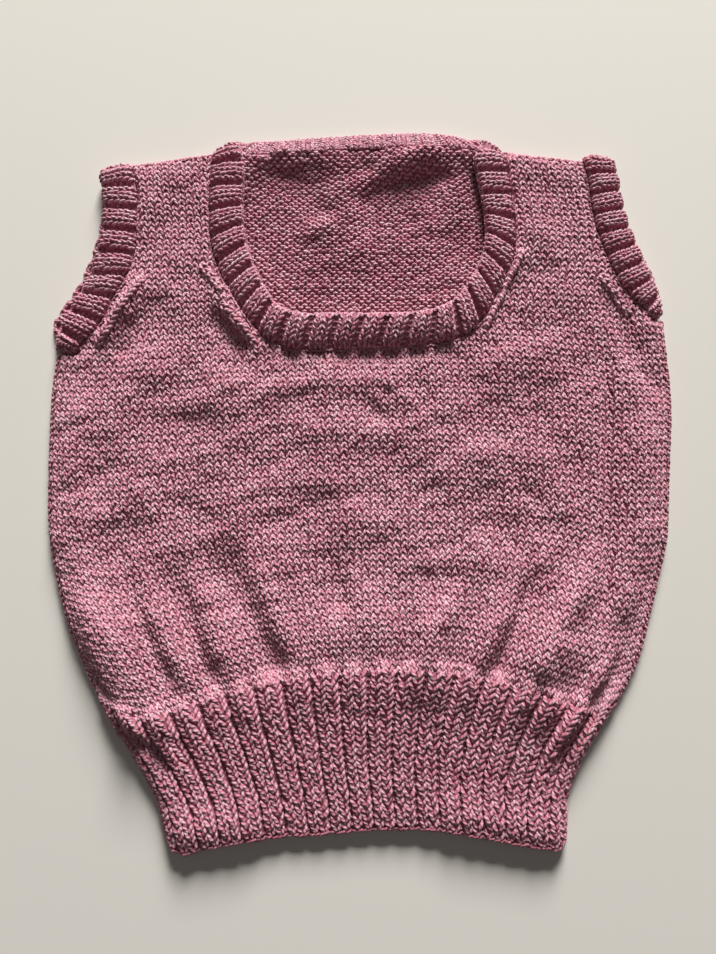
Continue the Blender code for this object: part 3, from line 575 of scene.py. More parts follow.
# %% What lifts and sinks the cloth
def relief(points, folds):
    """The height that ridges and troughs add at each point."""
    total = np.zeros(len(points))
    for fold in folds:
        path = np.array(fold.path, float)
        nearest = np.full(len(points), FAR)
        strength = np.zeros(len(points))
        for start, end in zip(path[:-1], path[1:]):
            along = end[:2] - start[:2]
            gap = points - start[:2]
            share = np.clip(gap @ along / (along @ along), 0, 1)
            apart = np.linalg.norm(gap - share[:, None] * along, axis=1)
            closer = apart < nearest
            nearest = np.where(closer, apart, nearest)
            strength = np.where(closer, start[2] + (end[2] - start[2]) * share, strength)
        total += fold.lift * strength * np.exp(-((nearest / fold.width) ** 2))
    return total


def rumple(points):
    """The unevenness that handling leaves in cloth: many soft waves, each as steep."""
    total = np.zeros(len(points))
    for length, turn, start in zip(wave_length, wave_turn, wave_start):
        pace = 2 * math.pi / length
        run = points[:, 0] * math.cos(turn) + points[:, 1] * math.sin(turn)
        total += RUMPLE_SLOPE / pace * np.sin(run * pace + start)
    return total


def kept_above(height, floor, softness=0.8):
    """A height that eases onto a floor instead of sinking through it."""
    return floor + softness * np.logaddexp(0, (height - floor) / softness)


# %% The gathers, and the roll at the sides
GATHER_LINE = smooth(WELT_TOP)
gather_step = np.hypot(*np.diff(GATHER_LINE, axis=0).T)
GATHER_SHARE = np.concatenate([[0], np.cumsum(gather_step)]) / gather_step.sum()
PUFF_LIFT = 3.0
PUFF_SWING = 1.9
PUFF_WIDTH = 4.6
PUFF_DROP = 1.0  # a puff is highest this far below the gathered line
# Toward the right corner, between these two places, the puffs fade to a fifth.
PUFF_FADE_X = (120.0, 134.0)
PUFF_FADE = (1.0, 0.2)


def line_at(x):
    """How far up the vest the gathered line is at each x."""
    return np.interp(x, GATHER_LINE[:, 0], GATHER_LINE[:, 1])


def gathers(points):
    """The gathered line stands up in a puff above each rib of the welt."""
    share = np.interp(points[:, 0], GATHER_LINE[:, 0], GATHER_SHARE)
    rib = share * WELT_STITCHES / RIB - HALF_STITCH
    above = points[:, 1] - line_at(points[:, 0])
    near = np.exp(-(((above + PUFF_DROP) / PUFF_WIDTH) ** 2))
    near = near * np.interp(points[:, 0], PUFF_FADE_X, PUFF_FADE)
    return near * (PUFF_LIFT + PUFF_SWING * np.cos(2 * math.pi * rib))


def rounded(distance, radius):
    """From 0 at a fold's edge up to 1 at its radius, on a quarter circle."""
    share = np.clip(distance / radius, 0, 1)
    return np.sqrt(1 - (1 - share) ** 2)


# The gathers pull the cloth above them smooth, and the right side is calmer than the middle.
CALM_ABOVE = (15.0, 55.0)
CALM_ABOVE_SHARE = (0.4, 1.0)
CALM_SIDE_X = (118.0, 142.0)
CALM_SIDE_SHARE = (1.0, 0.55)
LINE_MARGIN = 0.2  # a point nearer to the gathered line is measured from this far above it


def body_crest(points):
    """How high the front would lie if it ran on past its edges."""
    above = points[:, 1] - line_at(points[:, 0])
    calm = np.interp(above, CALM_ABOVE, CALM_ABOVE_SHARE)
    calm = calm * np.interp(points[:, 0], CALM_SIDE_X, CALM_SIDE_SHARE)
    lie = FRONT_TOP + relief(points, FRONT_FOLDS) + rumple(points) * calm
    return kept_above(lie, FRONT_FLOOR) + gathers(points)


def front_heights(points):
    """The outer and inner heights of the front's cloth, level with its lip outside it."""
    line = line_at(points[:, 0]) + LINE_MARGIN
    above = np.column_stack([points[:, 0], np.maximum(points[:, 1], line)])
    within = inside(above, FRONT_LOOP)
    to_fold = np.min([distance_to(above, fold) for fold in FRONT_EDGES], axis=0) * within
    to_seam = np.min([distance_to(above, seam) for seam in FRONT_SEAMS], axis=0) * within
    crest = body_crest(points) - SEAM_DIP * np.clip(1 - to_seam / SEAM_DIP_WIDTH, 0, 1)
    lip = FOOT + EDGE_LIP
    outer = lip + (crest - lip) * rounded(to_fold, FOLD_RADIUS)
    roll = rounded(to_fold - CLOTH, FOLD_RADIUS - CLOTH)
    inner = FOOT + np.maximum(crest - CLOTH - FOOT, 0) * roll
    return outer, inner


# %% [markdown]
# ## A ground to knit on
#
# Every stretch of knitting here is worked on a ground: a lattice of points that knows, for
# any stitch column and row, even between two of them, where the cloth's surface is and
# which way is up. The body, the welts, the rings of the bands and the narrow side edges
# are all grounds, so one way of making a stitch serves them all.

# %% Grounds
Ground = namedtuple("Ground", "points normals column0 row0 per_column per_row")
HALVES = 2  # most lattices have a line at every stitch or row and one halfway
LAST_LINE = 1.001  # stops just short of a lattice's last line


def ground_on(points, column0, row0, per_column, per_row, flip=False):
    """A ground from a lattice of points, its rows first, that starts at a column and row."""
    across = np.gradient(points, axis=1)
    upward = np.gradient(points, axis=0)
    normals = unit(np.cross(across, upward)) * (-1 if flip else 1)
    return Ground(points, normals, column0, row0, per_column, per_row)


def on_ground(ground, column, row):
    """The point and the normal of the ground at each column and row."""
    rows, columns = ground.points.shape[:2]
    x = np.clip((column - ground.column0) * ground.per_column, 0, columns - LAST_LINE)
    y = np.clip((row - ground.row0) * ground.per_row, 0, rows - LAST_LINE)
    i = x.astype(int)
    j = y.astype(int)
    u = (x - i)[..., None]
    v = (y - j)[..., None]

    def blend(values):
        low = values[j, i] * (1 - u) + values[j, i + 1] * u
        high = values[j + 1, i] * (1 - u) + values[j + 1, i + 1] * u
        return low * (1 - v) + high * v

    return blend(ground.points), unit(blend(ground.normals))


def ground_facing(way, points, column0, row0, per_column, per_row):
    """A ground whose normals point the way that is given, for each point or for all."""
    made = ground_on(points, column0, row0, per_column, per_row)
    turned = (made.normals * way).sum() < 0
    return ground_on(points, column0, row0, per_column, per_row, flip=turned)


# %% [markdown]
# ## One strand of yarn
#
# What shows of a loop is a short arched length of yarn that dives under its neighbours at
# both ends. Each is a half tube, swept along a few points given in stitch widths, row
# heights and yarn radii. The list of strands is kept as one array, so thousands of them
# are bent at once. Each point also notes how far along the yarn it is, how far round, and
# one number for the whole strand, which the yarn's colours are worked out from.

# %% Shapes of the strands
Bend = namedtuple("Bend", "across up lift thickness")
KNIT_LEG = [
    Bend(0.06, -0.78, -0.85, 0.70),
    Bend(0.11, -0.38, 0.15, 0.96),
    Bend(0.24, 0.02, 0.38, 1.00),
    Bend(0.38, 0.40, 0.15, 0.96),
    Bend(0.43, 0.78, -0.85, 0.70),
]
PLAIN_LEG = [
    Bend(0.04, -0.55, -0.70, 0.70),
    Bend(0.16, -0.18, 0.22, 1.00),
    Bend(0.33, 0.24, 0.22, 1.00),
    Bend(0.46, 0.60, -0.70, 0.70),
]
PURL_HEAD = [
    Bend(-0.44, -0.20, -0.80, 0.60),
    Bend(-0.27, 0.06, 0.20, 0.90),
    Bend(0.00, 0.20, 0.50, 0.98),
    Bend(0.27, 0.06, 0.20, 0.90),
    Bend(0.44, -0.20, -0.80, 0.60),
]
PURL_BUMP = [
    Bend(-0.36, -0.26, -1.10, 0.55),
    Bend(-0.22, -0.02, 0.10, 0.88),
    Bend(0.00, 0.08, 0.55, 1.00),
    Bend(0.22, -0.02, 0.10, 0.88),
    Bend(0.36, -0.26, -1.10, 0.55),
]
BAND_LEG = [
    Bend(0.12, -0.80, -0.80, 0.62),
    Bend(0.16, -0.42, 0.05, 0.95),
    Bend(0.26, 0.00, 0.35, 1.00),
    Bend(0.36, 0.42, 0.05, 0.95),
    Bend(0.38, 0.80, -0.80, 0.62),
]
CHAIN_LINK = [
    Bend(0.02, -0.66, -0.60, 0.60),
    Bend(0.12, -0.30, 0.10, 0.92),
    Bend(0.26, 0.06, 0.36, 1.00),
    Bend(0.33, 0.40, 0.10, 0.92),
    Bend(0.30, 0.74, -0.60, 0.60),
]
# Half a tube seen end on: how far beside and over the strand's middle each point is.
ROUND_HALF = [(-1.0, -0.25), (-0.74, 0.58), (0.0, 0.98), (0.74, 0.58), (1.0, -0.25)]
ROUGH_HALF = [(-1.0, -0.2), (0.0, 0.95), (1.0, -0.2)]

# %% Strands bent along the cloth
Strands = namedtuple("Strands", "points yarn")
TONE_SPREAD = 0.24  # how much one strand's colour differs from the next
LIFT_SLIP = 2  # strands stray this many times further up and down than along the cloth
LOWEST_YARN = 0.02  # the table stops the yarn here


def strands(ground, column, row, side, shape, width=1.0, height=1.0, radius=YARN,
            half=ROUND_HALF, lift=0.0, unevenness=0.07):
    """One strand for each column and row, mirrored where side is -1."""
    shape = np.array(shape)
    count = len(column)
    half = np.array(half)
    slip = chance.normal(0, unevenness, (count, 4))
    tone = np.clip(chance.normal(0.5, TONE_SPREAD, count), 0, 1)
    across = np.asarray(side)[:, None] * shape[:, 0] * width + slip[:, 0:1] * width
    upward = shape[:, 1] * height + slip[:, 1:2] * height
    base, normal = on_ground(ground, column[:, None] + across, row[:, None] + upward)
    rise = (shape[:, 2] + lift + slip[:, 2:3] * LIFT_SLIP) * radius
    core = base + normal * rise[..., None]
    along = unit(np.gradient(core, axis=1))
    beside = unit(np.cross(along, normal))
    over = unit(np.cross(beside, along))
    thick = (shape[:, 3] * (1 + slip[:, 3:4]) * radius)[..., None, None]
    points = core[:, :, None] + beside[:, :, None] * half[:, 0:1] * thick
    points = points + over[:, :, None] * half[:, 1:2] * thick
    points[..., 2] = np.maximum(points[..., 2], LOWEST_YARN)
    step = np.linalg.norm(np.diff(core, axis=1), axis=2)
    length = np.concatenate([np.zeros((count, 1)), np.cumsum(step, axis=1)], axis=1)
    yarn = np.empty(points.shape)
    yarn[..., 0] = length[:, :, None]
    yarn[..., 1] = half[:, 0]
    yarn[..., 2] = tone[:, None, None]
    return Strands(points, yarn)


def chosen(made, keep):
    """Only the strands to keep."""
    return Strands(made.points[keep], made.yarn[keep])


# %% Strands into one piece
CHART_MARGIN = 0.08  # round each strand's cell on the chart, as a share of the cell


def piece_of(name, points, faces, material, chart, yarn=None):
    """An object from points in layout millimetres and faces of three or four corners.

    The chart gives each corner of each face its place in the unit square.
    """
    mesh = bpy.data.meshes.new(name)
    points = (np.asarray(points, float) + CENTRE) * MM
    faces = np.asarray(faces, np.int32)
    mesh.vertices.add(len(points))
    mesh.vertices.foreach_set("co", points.astype(np.float32).ravel())
    mesh.loops.add(faces.size)
    mesh.loops.foreach_set("vertex_index", faces.ravel())
    mesh.polygons.add(len(faces))
    starts = np.arange(len(faces), dtype=np.int32) * faces.shape[1]
    mesh.polygons.foreach_set("loop_start", starts)
    layer = mesh.uv_layers.new(name="OFBake")
    layer.data.foreach_set("uv", chart.astype(np.float32).ravel())
    if yarn is not None:
        notes = mesh.attributes.new("yarn", "FLOAT_VECTOR", "POINT")
        notes.data.foreach_set("vector", yarn.astype(np.float32).ravel())
    mesh.update(calc_edges=True)
    mesh.validate()
    mesh.shade_smooth()
    mesh.materials.append(material)
    made = bpy.data.objects.new(name, mesh)
    bpy.context.scene.collection.objects.link(made)
    return made


def knitted_piece(name, groups, material):
    """All the strands of some groups as one object."""
    total = sum(len(group.points) for group in groups)
    points, yarn, faces, uv = [], [], [], []
    first = 0
    placed = 0
    columns = math.ceil(math.sqrt(total))
    for group in groups:
        count, along, across = group.points.shape[:3]
        corner = np.arange(along * across).reshape(along, across)
        pattern = np.stack(
            [corner[:-1, :-1], corner[:-1, 1:], corner[1:, 1:], corner[1:, :-1]], axis=-1
        ).reshape(-1, 4)
        start = first + np.arange(count)[:, None, None] * along * across
        faces.append((start + pattern[None]).reshape(-1, 4))
        cell = placed + np.arange(count)
        ends = (CHART_MARGIN, 1 - CHART_MARGIN)
        u = (cell % columns)[:, None, None] + np.linspace(*ends, across)
        v = (cell // columns)[:, None, None] + np.linspace(*ends, along)[:, None]
        shape = (count, along, across)
        place = np.stack([np.broadcast_to(u, shape), np.broadcast_to(v, shape)], axis=-1)
        uv.append(place.reshape(-1, 2) / columns)
        points.append(group.points.reshape(-1, 3))
        yarn.append(group.yarn.reshape(-1, 3))
        first += count * along * across
        placed += count
    faces = np.vstack(faces)
    chart = np.vstack(uv)[faces.ravel()]
    made = piece_of(name, np.vstack(points), faces, material, chart, np.vstack(yarn))
    print(name, total, "strands,", 2 * len(faces), "triangles")
    return made


# %% [markdown]
# ## The yarn
#
# The wool is spun from a pale and a rosier ply with a few mauve hairs between them, so no
# two stitches have the same colour. One node group works the marl out from how far along
# and how far round the strand a point is, and paints shade on each strand's flanks, where
# it dives between its neighbours. Every finish below uses that group with its own colours.
# The soft halo of fibres is sheen, which is set on the shader itself.

# %% Small helpers for nodes
def feed(tree, node, key, value):
    """Feed one input of a node from a value or from another node's socket."""
    if isinstance(value, bpy.types.NodeSocket):
        tree.links.new(value, node.inputs[key])
    else:
        node.inputs[key].default_value = value


def add_node(tree, kind, inputs=None, **settings):
    """A new node with its settings and the inputs that are fed."""
    made = tree.nodes.new(kind)
    for name, value in settings.items():
        setattr(made, name, value)
    for key, value in (inputs or {}).items():
        feed(tree, made, key, value)
    return made


def sum_of(tree, operation, *values, clamp=False):
    """The result of one math node."""
    inputs = dict(enumerate(values))
    node = add_node(tree, "ShaderNodeMath", inputs, operation=operation, use_clamp=clamp)
    return node.outputs[0]


# Where a Mix node keeps the sockets that it uses for colours.
MIX_SHARE, MIX_FIRST, MIX_SECOND, MIX_RESULT = 0, 6, 7, 2


def mixed(tree, share, first, second):
    """Two colours mixed by a share."""
    node = add_node(tree, "ShaderNodeMix", data_type="RGBA")
    fed = ((MIX_SHARE, share), (MIX_FIRST, first), (MIX_SECOND, second))
    for key, value in fed:
        feed(tree, node, key, value)
    return node.outputs[MIX_RESULT]


def remapped(tree, value, low, high, to_low=0.0, to_high=1.0):
    """A value carried from one range to another, smoothly and within its ends."""
    inputs = {0: value, 1: low, 2: high, 3: to_low, 4: to_high}
    node = add_node(tree, "ShaderNodeMapRange", inputs, interpolation_type="SMOOTHSTEP")
    return node.outputs[0]


def mottling(tree, place, scale, detail=2.0):
    """Cloudy noise between 0 and 1, finer for a larger scale."""
    inputs = {"Vector": place, "Scale": scale, "Detail": detail}
    return add_node(tree, "ShaderNodeTexNoise", inputs).outputs[0]


def new_group(name, inputs, outputs):
    """An empty node group with named sockets, and the nodes at its two ends."""
    tree = bpy.data.node_groups.new(name, "ShaderNodeTree")
    for label, kind, value in inputs:
        socket = tree.interface.new_socket(label, in_out="INPUT", socket_type=kind)
        socket.default_value = value
    for label, kind in outputs:
        tree.interface.new_socket(label, in_out="OUTPUT", socket_type=kind)
    return tree, tree.nodes.new("NodeGroupInput"), tree.nodes.new("NodeGroupOutput")


# %% The marled yarn
PALE_ROSE = (0.755, 0.535, 0.592, 1.0)
ROSE = (0.53, 0.196, 0.264, 1.0)
MAUVE = (0.38, 0.135, 0.18, 1.0)
# Painted shade: the dark wine that the flanks of every strand are mixed toward.
PAINTED_FLANK_SHADE = (0.50, 0.08, 0.125, 1.0)
PLY_ALONG = 0.46  # turns of the plies in a millimetre of yarn
PLY_ROUND = 0.38  # turns from the crest of a strand to its flank
PLY_START = 9.0  # a strand's own tone turns its plies by up to this much
PALE_SHARE = 0.42  # how pale the yarn is where the plies meet
FINE_MOTTLE, SLOW_MOTTLE, WIDE_MOTTLE, HAIR_MOTTLE = 900.0, 210.0, 40.0, 260.0
TONE_SWING, FINE_SWING, SLOW_SWING, WIDE_SWING = 0.8, 1.7, 1.5, 0.6
HAIR_RAMP = (0.5, 0.68)  # the mottle's values where the hairs begin and are full
HAIR_SHARE = 0.55  # how much of the yarn's colour the hairs can take over
FLANK = 0.30  # how far round a strand its shaded flank begins
ROUGHNESS, ROUGHNESS_SWING = 0.40, 0.3
FINE_HEIGHT = 0.6


def make_marl_group():
    """Colour with painted shade on its flanks, roughness and height of a strand spun from two
    plies.
    """
    tree, given, out = new_group(
        "Marled yarn",
        [
            ("Along", "NodeSocketFloat", 0.0),
            ("Round", "NodeSocketFloat", 0.0),
            ("Tone", "NodeSocketFloat", 0.5),
            ("Pale ply", "NodeSocketColor", PALE_ROSE),
            ("Rosy ply", "NodeSocketColor", ROSE),
            ("Hairs", "NodeSocketColor", MAUVE),
            ("Shade between", "NodeSocketColor", PAINTED_FLANK_SHADE),
            ("Contrast", "NodeSocketFloat", 1.0),
            ("Shade", "NodeSocketFloat", 0.6),
        ],
        [
            ("Colour", "NodeSocketColor"),
            ("Roughness", "NodeSocketFloat"),
            ("Height", "NodeSocketFloat"),
        ],
    )
    along, around, tone = (given.outputs[name] for name in ("Along", "Round", "Tone"))
    turn = sum_of(tree, "MULTIPLY", around, PLY_ROUND)
    turn = sum_of(tree, "MULTIPLY_ADD", along, PLY_ALONG, turn)
    turn = sum_of(tree, "MULTIPLY_ADD", tone, PLY_START, turn)
    ply = sum_of(tree, "PINGPONG", turn, 0.5)
    ply = sum_of(tree, "MULTIPLY", ply, 2.0)
    place = add_node(tree, "ShaderNodeTexCoord").outputs["Object"]
    fine = mottling(tree, place, FINE_MOTTLE)
    slow = mottling(tree, place, SLOW_MOTTLE)
    wide = mottling(tree, place, WIDE_MOTTLE)
    pale = sum_of(tree, "ADD", sum_of(tree, "SUBTRACT", ply, 0.5), PALE_SHARE)
    swings = ((tone, TONE_SWING), (fine, FINE_SWING), (slow, SLOW_SWING), (wide, WIDE_SWING))
    for source, weight in swings:
        swing = sum_of(tree, "SUBTRACT", source, 0.5)
        swing = sum_of(tree, "MULTIPLY", swing, given.outputs["Contrast"])
        pale = sum_of(tree, "MULTIPLY_ADD", swing, weight, pale)
    pale = sum_of(tree, "ADD", pale, 0.0, clamp=True)
    colour = mixed(tree, pale, given.outputs["Rosy ply"], given.outputs["Pale ply"])
    hairs = mottling(tree, place, HAIR_MOTTLE, 1.0)
    hairs = remapped(tree, hairs, *HAIR_RAMP, 0.0, HAIR_SHARE)
    colour = mixed(tree, hairs, colour, given.outputs["Hairs"])
    # Painted shade: toward its flanks, where it dives under its neighbours, a strand's colour is
    # mixed toward the shade colour.
    flank = remapped(tree, sum_of(tree, "ABSOLUTE", around), FLANK, 1.0)
    groove = sum_of(tree, "MULTIPLY", flank, given.outputs["Shade"])
    colour = mixed(tree, groove, colour, given.outputs["Shade between"])
    rough = sum_of(tree, "MULTIPLY_ADD", fine, ROUGHNESS_SWING, ROUGHNESS)
    height = sum_of(tree, "MULTIPLY_ADD", fine, FINE_HEIGHT, ply)
    tree.links.new(colour, out.inputs["Colour"])
    tree.links.new(rough, out.inputs["Roughness"])
    tree.links.new(height, out.inputs["Height"])
    return tree


MARL = make_marl_group()

# %% Finishes of the yarn
def yarn_material(name, pale=PALE_ROSE, rosy=ROSE, contrast=1.0, shade=0.6, sheen=0.1):
    """Marled wool on strands, which carry the notes of how their yarn runs."""
    material = bpy.data.materials.new(name)
    material.use_nodes = True
    tree = material.node_tree
    shader = tree.nodes["Principled BSDF"]
    notes = add_node(tree, "ShaderNodeAttribute", attribute_name="yarn")
    split = add_node(tree, "ShaderNodeSeparateXYZ", {0: notes.outputs["Vector"]})
    marl = add_node(tree, "ShaderNodeGroup", node_tree=MARL)
    for socket, source in zip(("Along", "Round", "Tone"), split.outputs):
        tree.links.new(source, marl.inputs[socket])
    marl.inputs["Pale ply"].default_value = pale
    marl.inputs["Rosy ply"].default_value = rosy
    marl.inputs["Contrast"].default_value = contrast
    marl.inputs["Shade"].default_value = shade
    bump = add_node(
        tree, "ShaderNodeBump",
        {"Height": marl.outputs["Height"], "Strength": 0.8, "Distance": 0.0004},
    )
    tree.links.new(marl.outputs["Colour"], shader.inputs["Base Color"])
    tree.links.new(marl.outputs["Roughness"], shader.inputs["Roughness"])
    tree.links.new(bump.outputs[0], shader.inputs["Normal"])
    shader.inputs["Sheen Weight"].default_value = sheen
    shader.inputs["Sheen Roughness"].default_value = 0.45
    shader.inputs["Sheen Tint"].default_value = (1.0, 0.62, 0.70, 1.0)
    shader.inputs["Specular IOR Level"].default_value = 0.12
    return material


BODY_YARN = yarn_material("body yarn", contrast=0.5, shade=0.52)
# Painted shade: the welts and the hem get a darker copy of the yarn, with more painted shade on its
# flanks.
PAINTED_SHADE_RIB_YARN = yarn_material("rib yarn", pale=(0.65, 0.45, 0.505, 1.0), contrast=0.46, shade=0.6)
# Painted light: the back seen through the neck, which lies in shade, gets a paler copy of the yarn
# with less painted shade on its flanks.
PAINTED_LIGHT_WRONG_SIDE_YARN = yarn_material(
    "wrong side yarn",
    pale=(0.88, 0.62, 0.69, 1.0),
    rosy=(0.66, 0.25, 0.33, 1.0),
    contrast=0.8,
    shade=0.3,
)
BAND_YARN = yarn_material("band yarn", contrast=0.8, shade=0.45)
RIM_YARN = yarn_material("rim yarn", contrast=0.8, shade=0.4)

# %% The cloth behind the stitches
FIBRE_MOTTLE = 420.0
FIBRE_RAMP = (0.38, 0.66)  # the mottle's values that are all dark and all light


def ground_material(name, light, dark):
    """What is seen between two stitches: the same wool in their shade."""
    material = bpy.data.materials.new(name)
    material.use_nodes = True
    tree = material.node_tree
    shader = tree.nodes["Principled BSDF"]
    place = add_node(tree, "ShaderNodeTexCoord").outputs["Object"]
    fibres = mottling(tree, place, FIBRE_MOTTLE, 3.0)
    share = remapped(tree, fibres, *FIBRE_RAMP)
    colour = mixed(tree, share, dark, light)
    bump = add_node(
        tree, "ShaderNodeBump",
        {"Height": fibres, "Strength": 0.6, "Distance": 0.0006},
    )
    tree.links.new(colour, shader.inputs["Base Color"])
    rough = sum_of(tree, "MULTIPLY_ADD", share, 0.1, 0.85)
    tree.links.new(rough, shader.inputs["Roughness"])
    tree.links.new(bump.outputs[0], shader.inputs["Normal"])
    shader.inputs["Sheen Weight"].default_value = 0.2
    shader.inputs["Specular IOR Level"].default_value = 0.2
    return material


SHADED_WOOL = ground_material(
    "shaded wool", light=(0.50, 0.185, 0.24, 1.0), dark=(0.30, 0.09, 0.125, 1.0)
)
yarn_names = [finish.name for finish in bpy.data.materials if finish.name.endswith("yarn")]
print("yarn finishes:", ", ".join(yarn_names))

# %% [markdown]
# ## Table, light and camera
#
# The vest is looked down on from just in front of it, so near things look larger: a hand
# camera held less than half a metre above a pale table. The window's soft light comes
# from beyond the neck, which leaves the shadow of every rib on the side of the hem.

# %% The camera
CAMERA_ELEVATION = math.radians(82.0)
CAMERA_DISTANCE = 431.6
CAMERA_LENS = 27.05

camera_data = bpy.data.cameras.new("camera")
camera_data.sensor_fit = "VERTICAL"
camera_data.sensor_height = 36.0
camera_data.lens = CAMERA_LENS
camera_data.clip_start = 0.01
camera = bpy.data.objects.new("camera", camera_data)
backward = Vector((0.0, -math.cos(CAMERA_ELEVATION), math.sin(CAMERA_ELEVATION)))
camera.location = Vector(CENTRE) * MM + backward * CAMERA_DISTANCE * MM
camera.rotation_euler = (math.pi / 2 - CAMERA_ELEVATION, 0.0, 0.0)
bpy.context.scene.collection.objects.link(camera)
bpy.context.scene.camera = camera
print("camera at", [round(v, 4) for v in camera.location])

# %% The table
TABLE_REACH = 2.5
TABLE_LEVEL = -0.0002  # a hair below the yarn
table_corners = [
    (across * TABLE_REACH, along * TABLE_REACH, TABLE_LEVEL)
    for across, along in ((-1, -1), (1, -1), (1, 1), (-1, 1))
]
table_mesh = bpy.data.meshes.new("table")
table_mesh.from_pydata(table_corners, [], [(0, 1, 2, 3)])
table = bpy.data.objects.new("table", table_mesh)
bpy.context.scene.collection.objects.link(table)
table_finish = bpy.data.materials.new("table top")
table_finish.use_nodes = True
table_shader = table_finish.node_tree.nodes["Principled BSDF"]
table_shader.inputs["Base Color"].default_value = (0.80, 0.77, 0.705, 1.0)
table_shader.inputs["Roughness"].default_value = 0.8
table_shader.inputs["Specular IOR Level"].default_value = 0.15
table_mesh.materials.append(table_finish)
print("table:", 2 * TABLE_REACH, "m wide")

# %% The light
def soft_light(name, place, size, power, colour):
    """A square lamp that faces the middle of the vest."""
    lamp = bpy.data.lights.new(name, "AREA")
    lamp.size = size
    lamp.energy = power
    lamp.color = colour
    made = bpy.data.objects.new(name, lamp)
    made.location = place
    made.rotation_euler = Vector(place).to_track_quat("Z", "Y").to_euler()
    bpy.context.scene.collection.objects.link(made)


# The places are in metres and the powers in watts.
soft_light("window", place=(0.6, 5.1, 2.15), size=1.9, power=620.0, colour=(1.0, 0.985, 0.97))
soft_light("room", place=(0.2, 0.2, 2.4), size=1.8, power=2.4, colour=(1.0, 0.95, 0.89))
world = bpy.data.worlds.new("studio")
world.use_nodes = True
background = world.node_tree.nodes["Background"]
background.inputs["Color"].default_value = (0.95, 0.95, 0.96, 1.0)
background.inputs["Strength"].default_value = 0.055
bpy.context.scene.world = world
bpy.context.scene.view_settings.view_transform = "Standard"

# %% [markdown]
# ## The front
#
# The front is stocking stitch: column beside column of little nested Vs. Behind them lies
# a thin closed sheet in the shade of the stitches, which fills the gaps and gives the
# cloth its inside. The stitches of the front follow a lattice that fans out from the
# gathers and runs straight to the shoulders.

# %% The lattice of the front
CROWDING = 0.035
PULL_FADE = 1.6  # how fast the bend of the gathered line dies away up the front


def crowd(share):
    """Columns packed a little closer where the cloth turns away at the sides."""
    q = 2 * share - 1
    return 0.5 + 0.5 * (q + CROWDING * q * (1 - q**6))


SIDE_CURVE = {
    side: smooth([(level.y, getattr(level, side)) for level in SIDE_LEVELS + STRAP_LEVELS])
    for side in ("left", "right")
}
WELT_TOP_MIDDLE = -111.2
SHOULDER = 204.0


def side_at(side, y):
    """The x of one side of the knitting at each height, shaped armholes left out."""
    curve = SIDE_CURVE[side]
    return np.interp(y, curve[:, 0], curve[:, 1])


def body_plan(column, row):
    """Where each column and row of the body is, looked down on."""
    share = crowd(column / BODY_STITCHES)
    climb = row / BODY_ROWS
    pull = np.clip(1 - climb, 0, 1) ** PULL_FADE
    foot_x = WELT_TOP[0].x + (WELT_TOP[-1].x - WELT_TOP[0].x) * share
    level = WELT_TOP_MIDDLE + (SHOULDER - WELT_TOP_MIDDLE) * climb
    side_y = level + (WELT_TOP[0].y - WELT_TOP_MIDDLE) * pull
    left = side_at("left", side_y)
    right = side_at("right", side_y)
    x = left + (right - left) * share
    y = level + (line_at(foot_x) - WELT_TOP_MIDDLE) * pull
    return np.stack([x, y], axis=-1)


def halves(first, last):
    """Every whole and half number from the first to the last."""
    return np.arange(HALVES * first, HALVES * last + 1) / HALVES


COLUMNS = halves(0, BODY_STITCHES)
ROWS = halves(-1, BODY_ROWS + 2)
column_grid, row_grid = np.meshgrid(COLUMNS, ROWS)
front_plan = body_plan(column_grid, row_grid)
flat_plan = front_plan.reshape(-1, 2)
front_outer, _ = front_heights(flat_plan)
STITCH_SINK = 0.95  # the cloth behind the stitches lies this far under the outer surface
surface = (front_outer - STITCH_SINK).reshape(column_grid.shape)
FRONT_GROUND = ground_on(
    np.dstack([front_plan, surface]), COLUMNS[0], ROWS[0], HALVES, HALVES
)
print("front lattice:", surface.shape, "heights", surface.min().round(1), surface.max().round(1))

# %% The stitches of the front
def knit_grid(columns, rows):
    """The middle of every stitch, twice over, with the side of each of its two legs."""
    column, row = np.meshgrid(columns, rows)
    column = np.tile(column.ravel(), 2)
    row = np.tile(row.ravel(), 2)
    side = np.repeat([1, -1], len(column) // 2)
    return column, row, side


def within_panel(made, loop, margin):
    """The strands whose middle lies inside a panel, some way from its edge."""
    middle = made.points[:, made.points.shape[1] // 2, made.points.shape[2] // 2, :2]
    clear = distance_to(middle, loop, closed=True) > margin
    return chosen(made, inside(middle, loop) & clear)


GATHERS_TOP = -105.0  # the outline's points below this are on the gathered line
# The lowest stitches hang over the line by this much, less toward its ends.
OVERHANG_X = (120.0, 147.0)
OVERHANG = (2.4, 0.0)
GATHERED_LOOP = FRONT_LOOP.copy()
gathered = FRONT_LOOP[:, 1] < GATHERS_TOP
overhang = np.interp(np.abs(FRONT_LOOP[gathered, 0]), OVERHANG_X, OVERHANG)
GATHERED_LOOP[gathered, 1] -= overhang

EDGE_MARGIN = 0.25
FIRST_ROW = -0.3
STITCHES_PART = 20.0  # below this y the stitches are one piece, above it another
front_legs = strands(
    FRONT_GROUND,
    *knit_grid(np.arange(0.5, BODY_STITCHES), np.arange(FIRST_ROW, BODY_ROWS + 1)),
    KNIT_LEG,
    radius=0.99,
)
front_legs = within_panel(front_legs, GATHERED_LOOP, EDGE_MARGIN)
upper = front_legs.points[:, 2, 2, 1] > STITCHES_PART
front_lower = knitted_piece("front_stitches_lower", [chosen(front_legs, ~upper)], BODY_YARN)
front_upper = knitted_piece("front_stitches_upper", [chosen(front_legs, upper)], BODY_YARN)

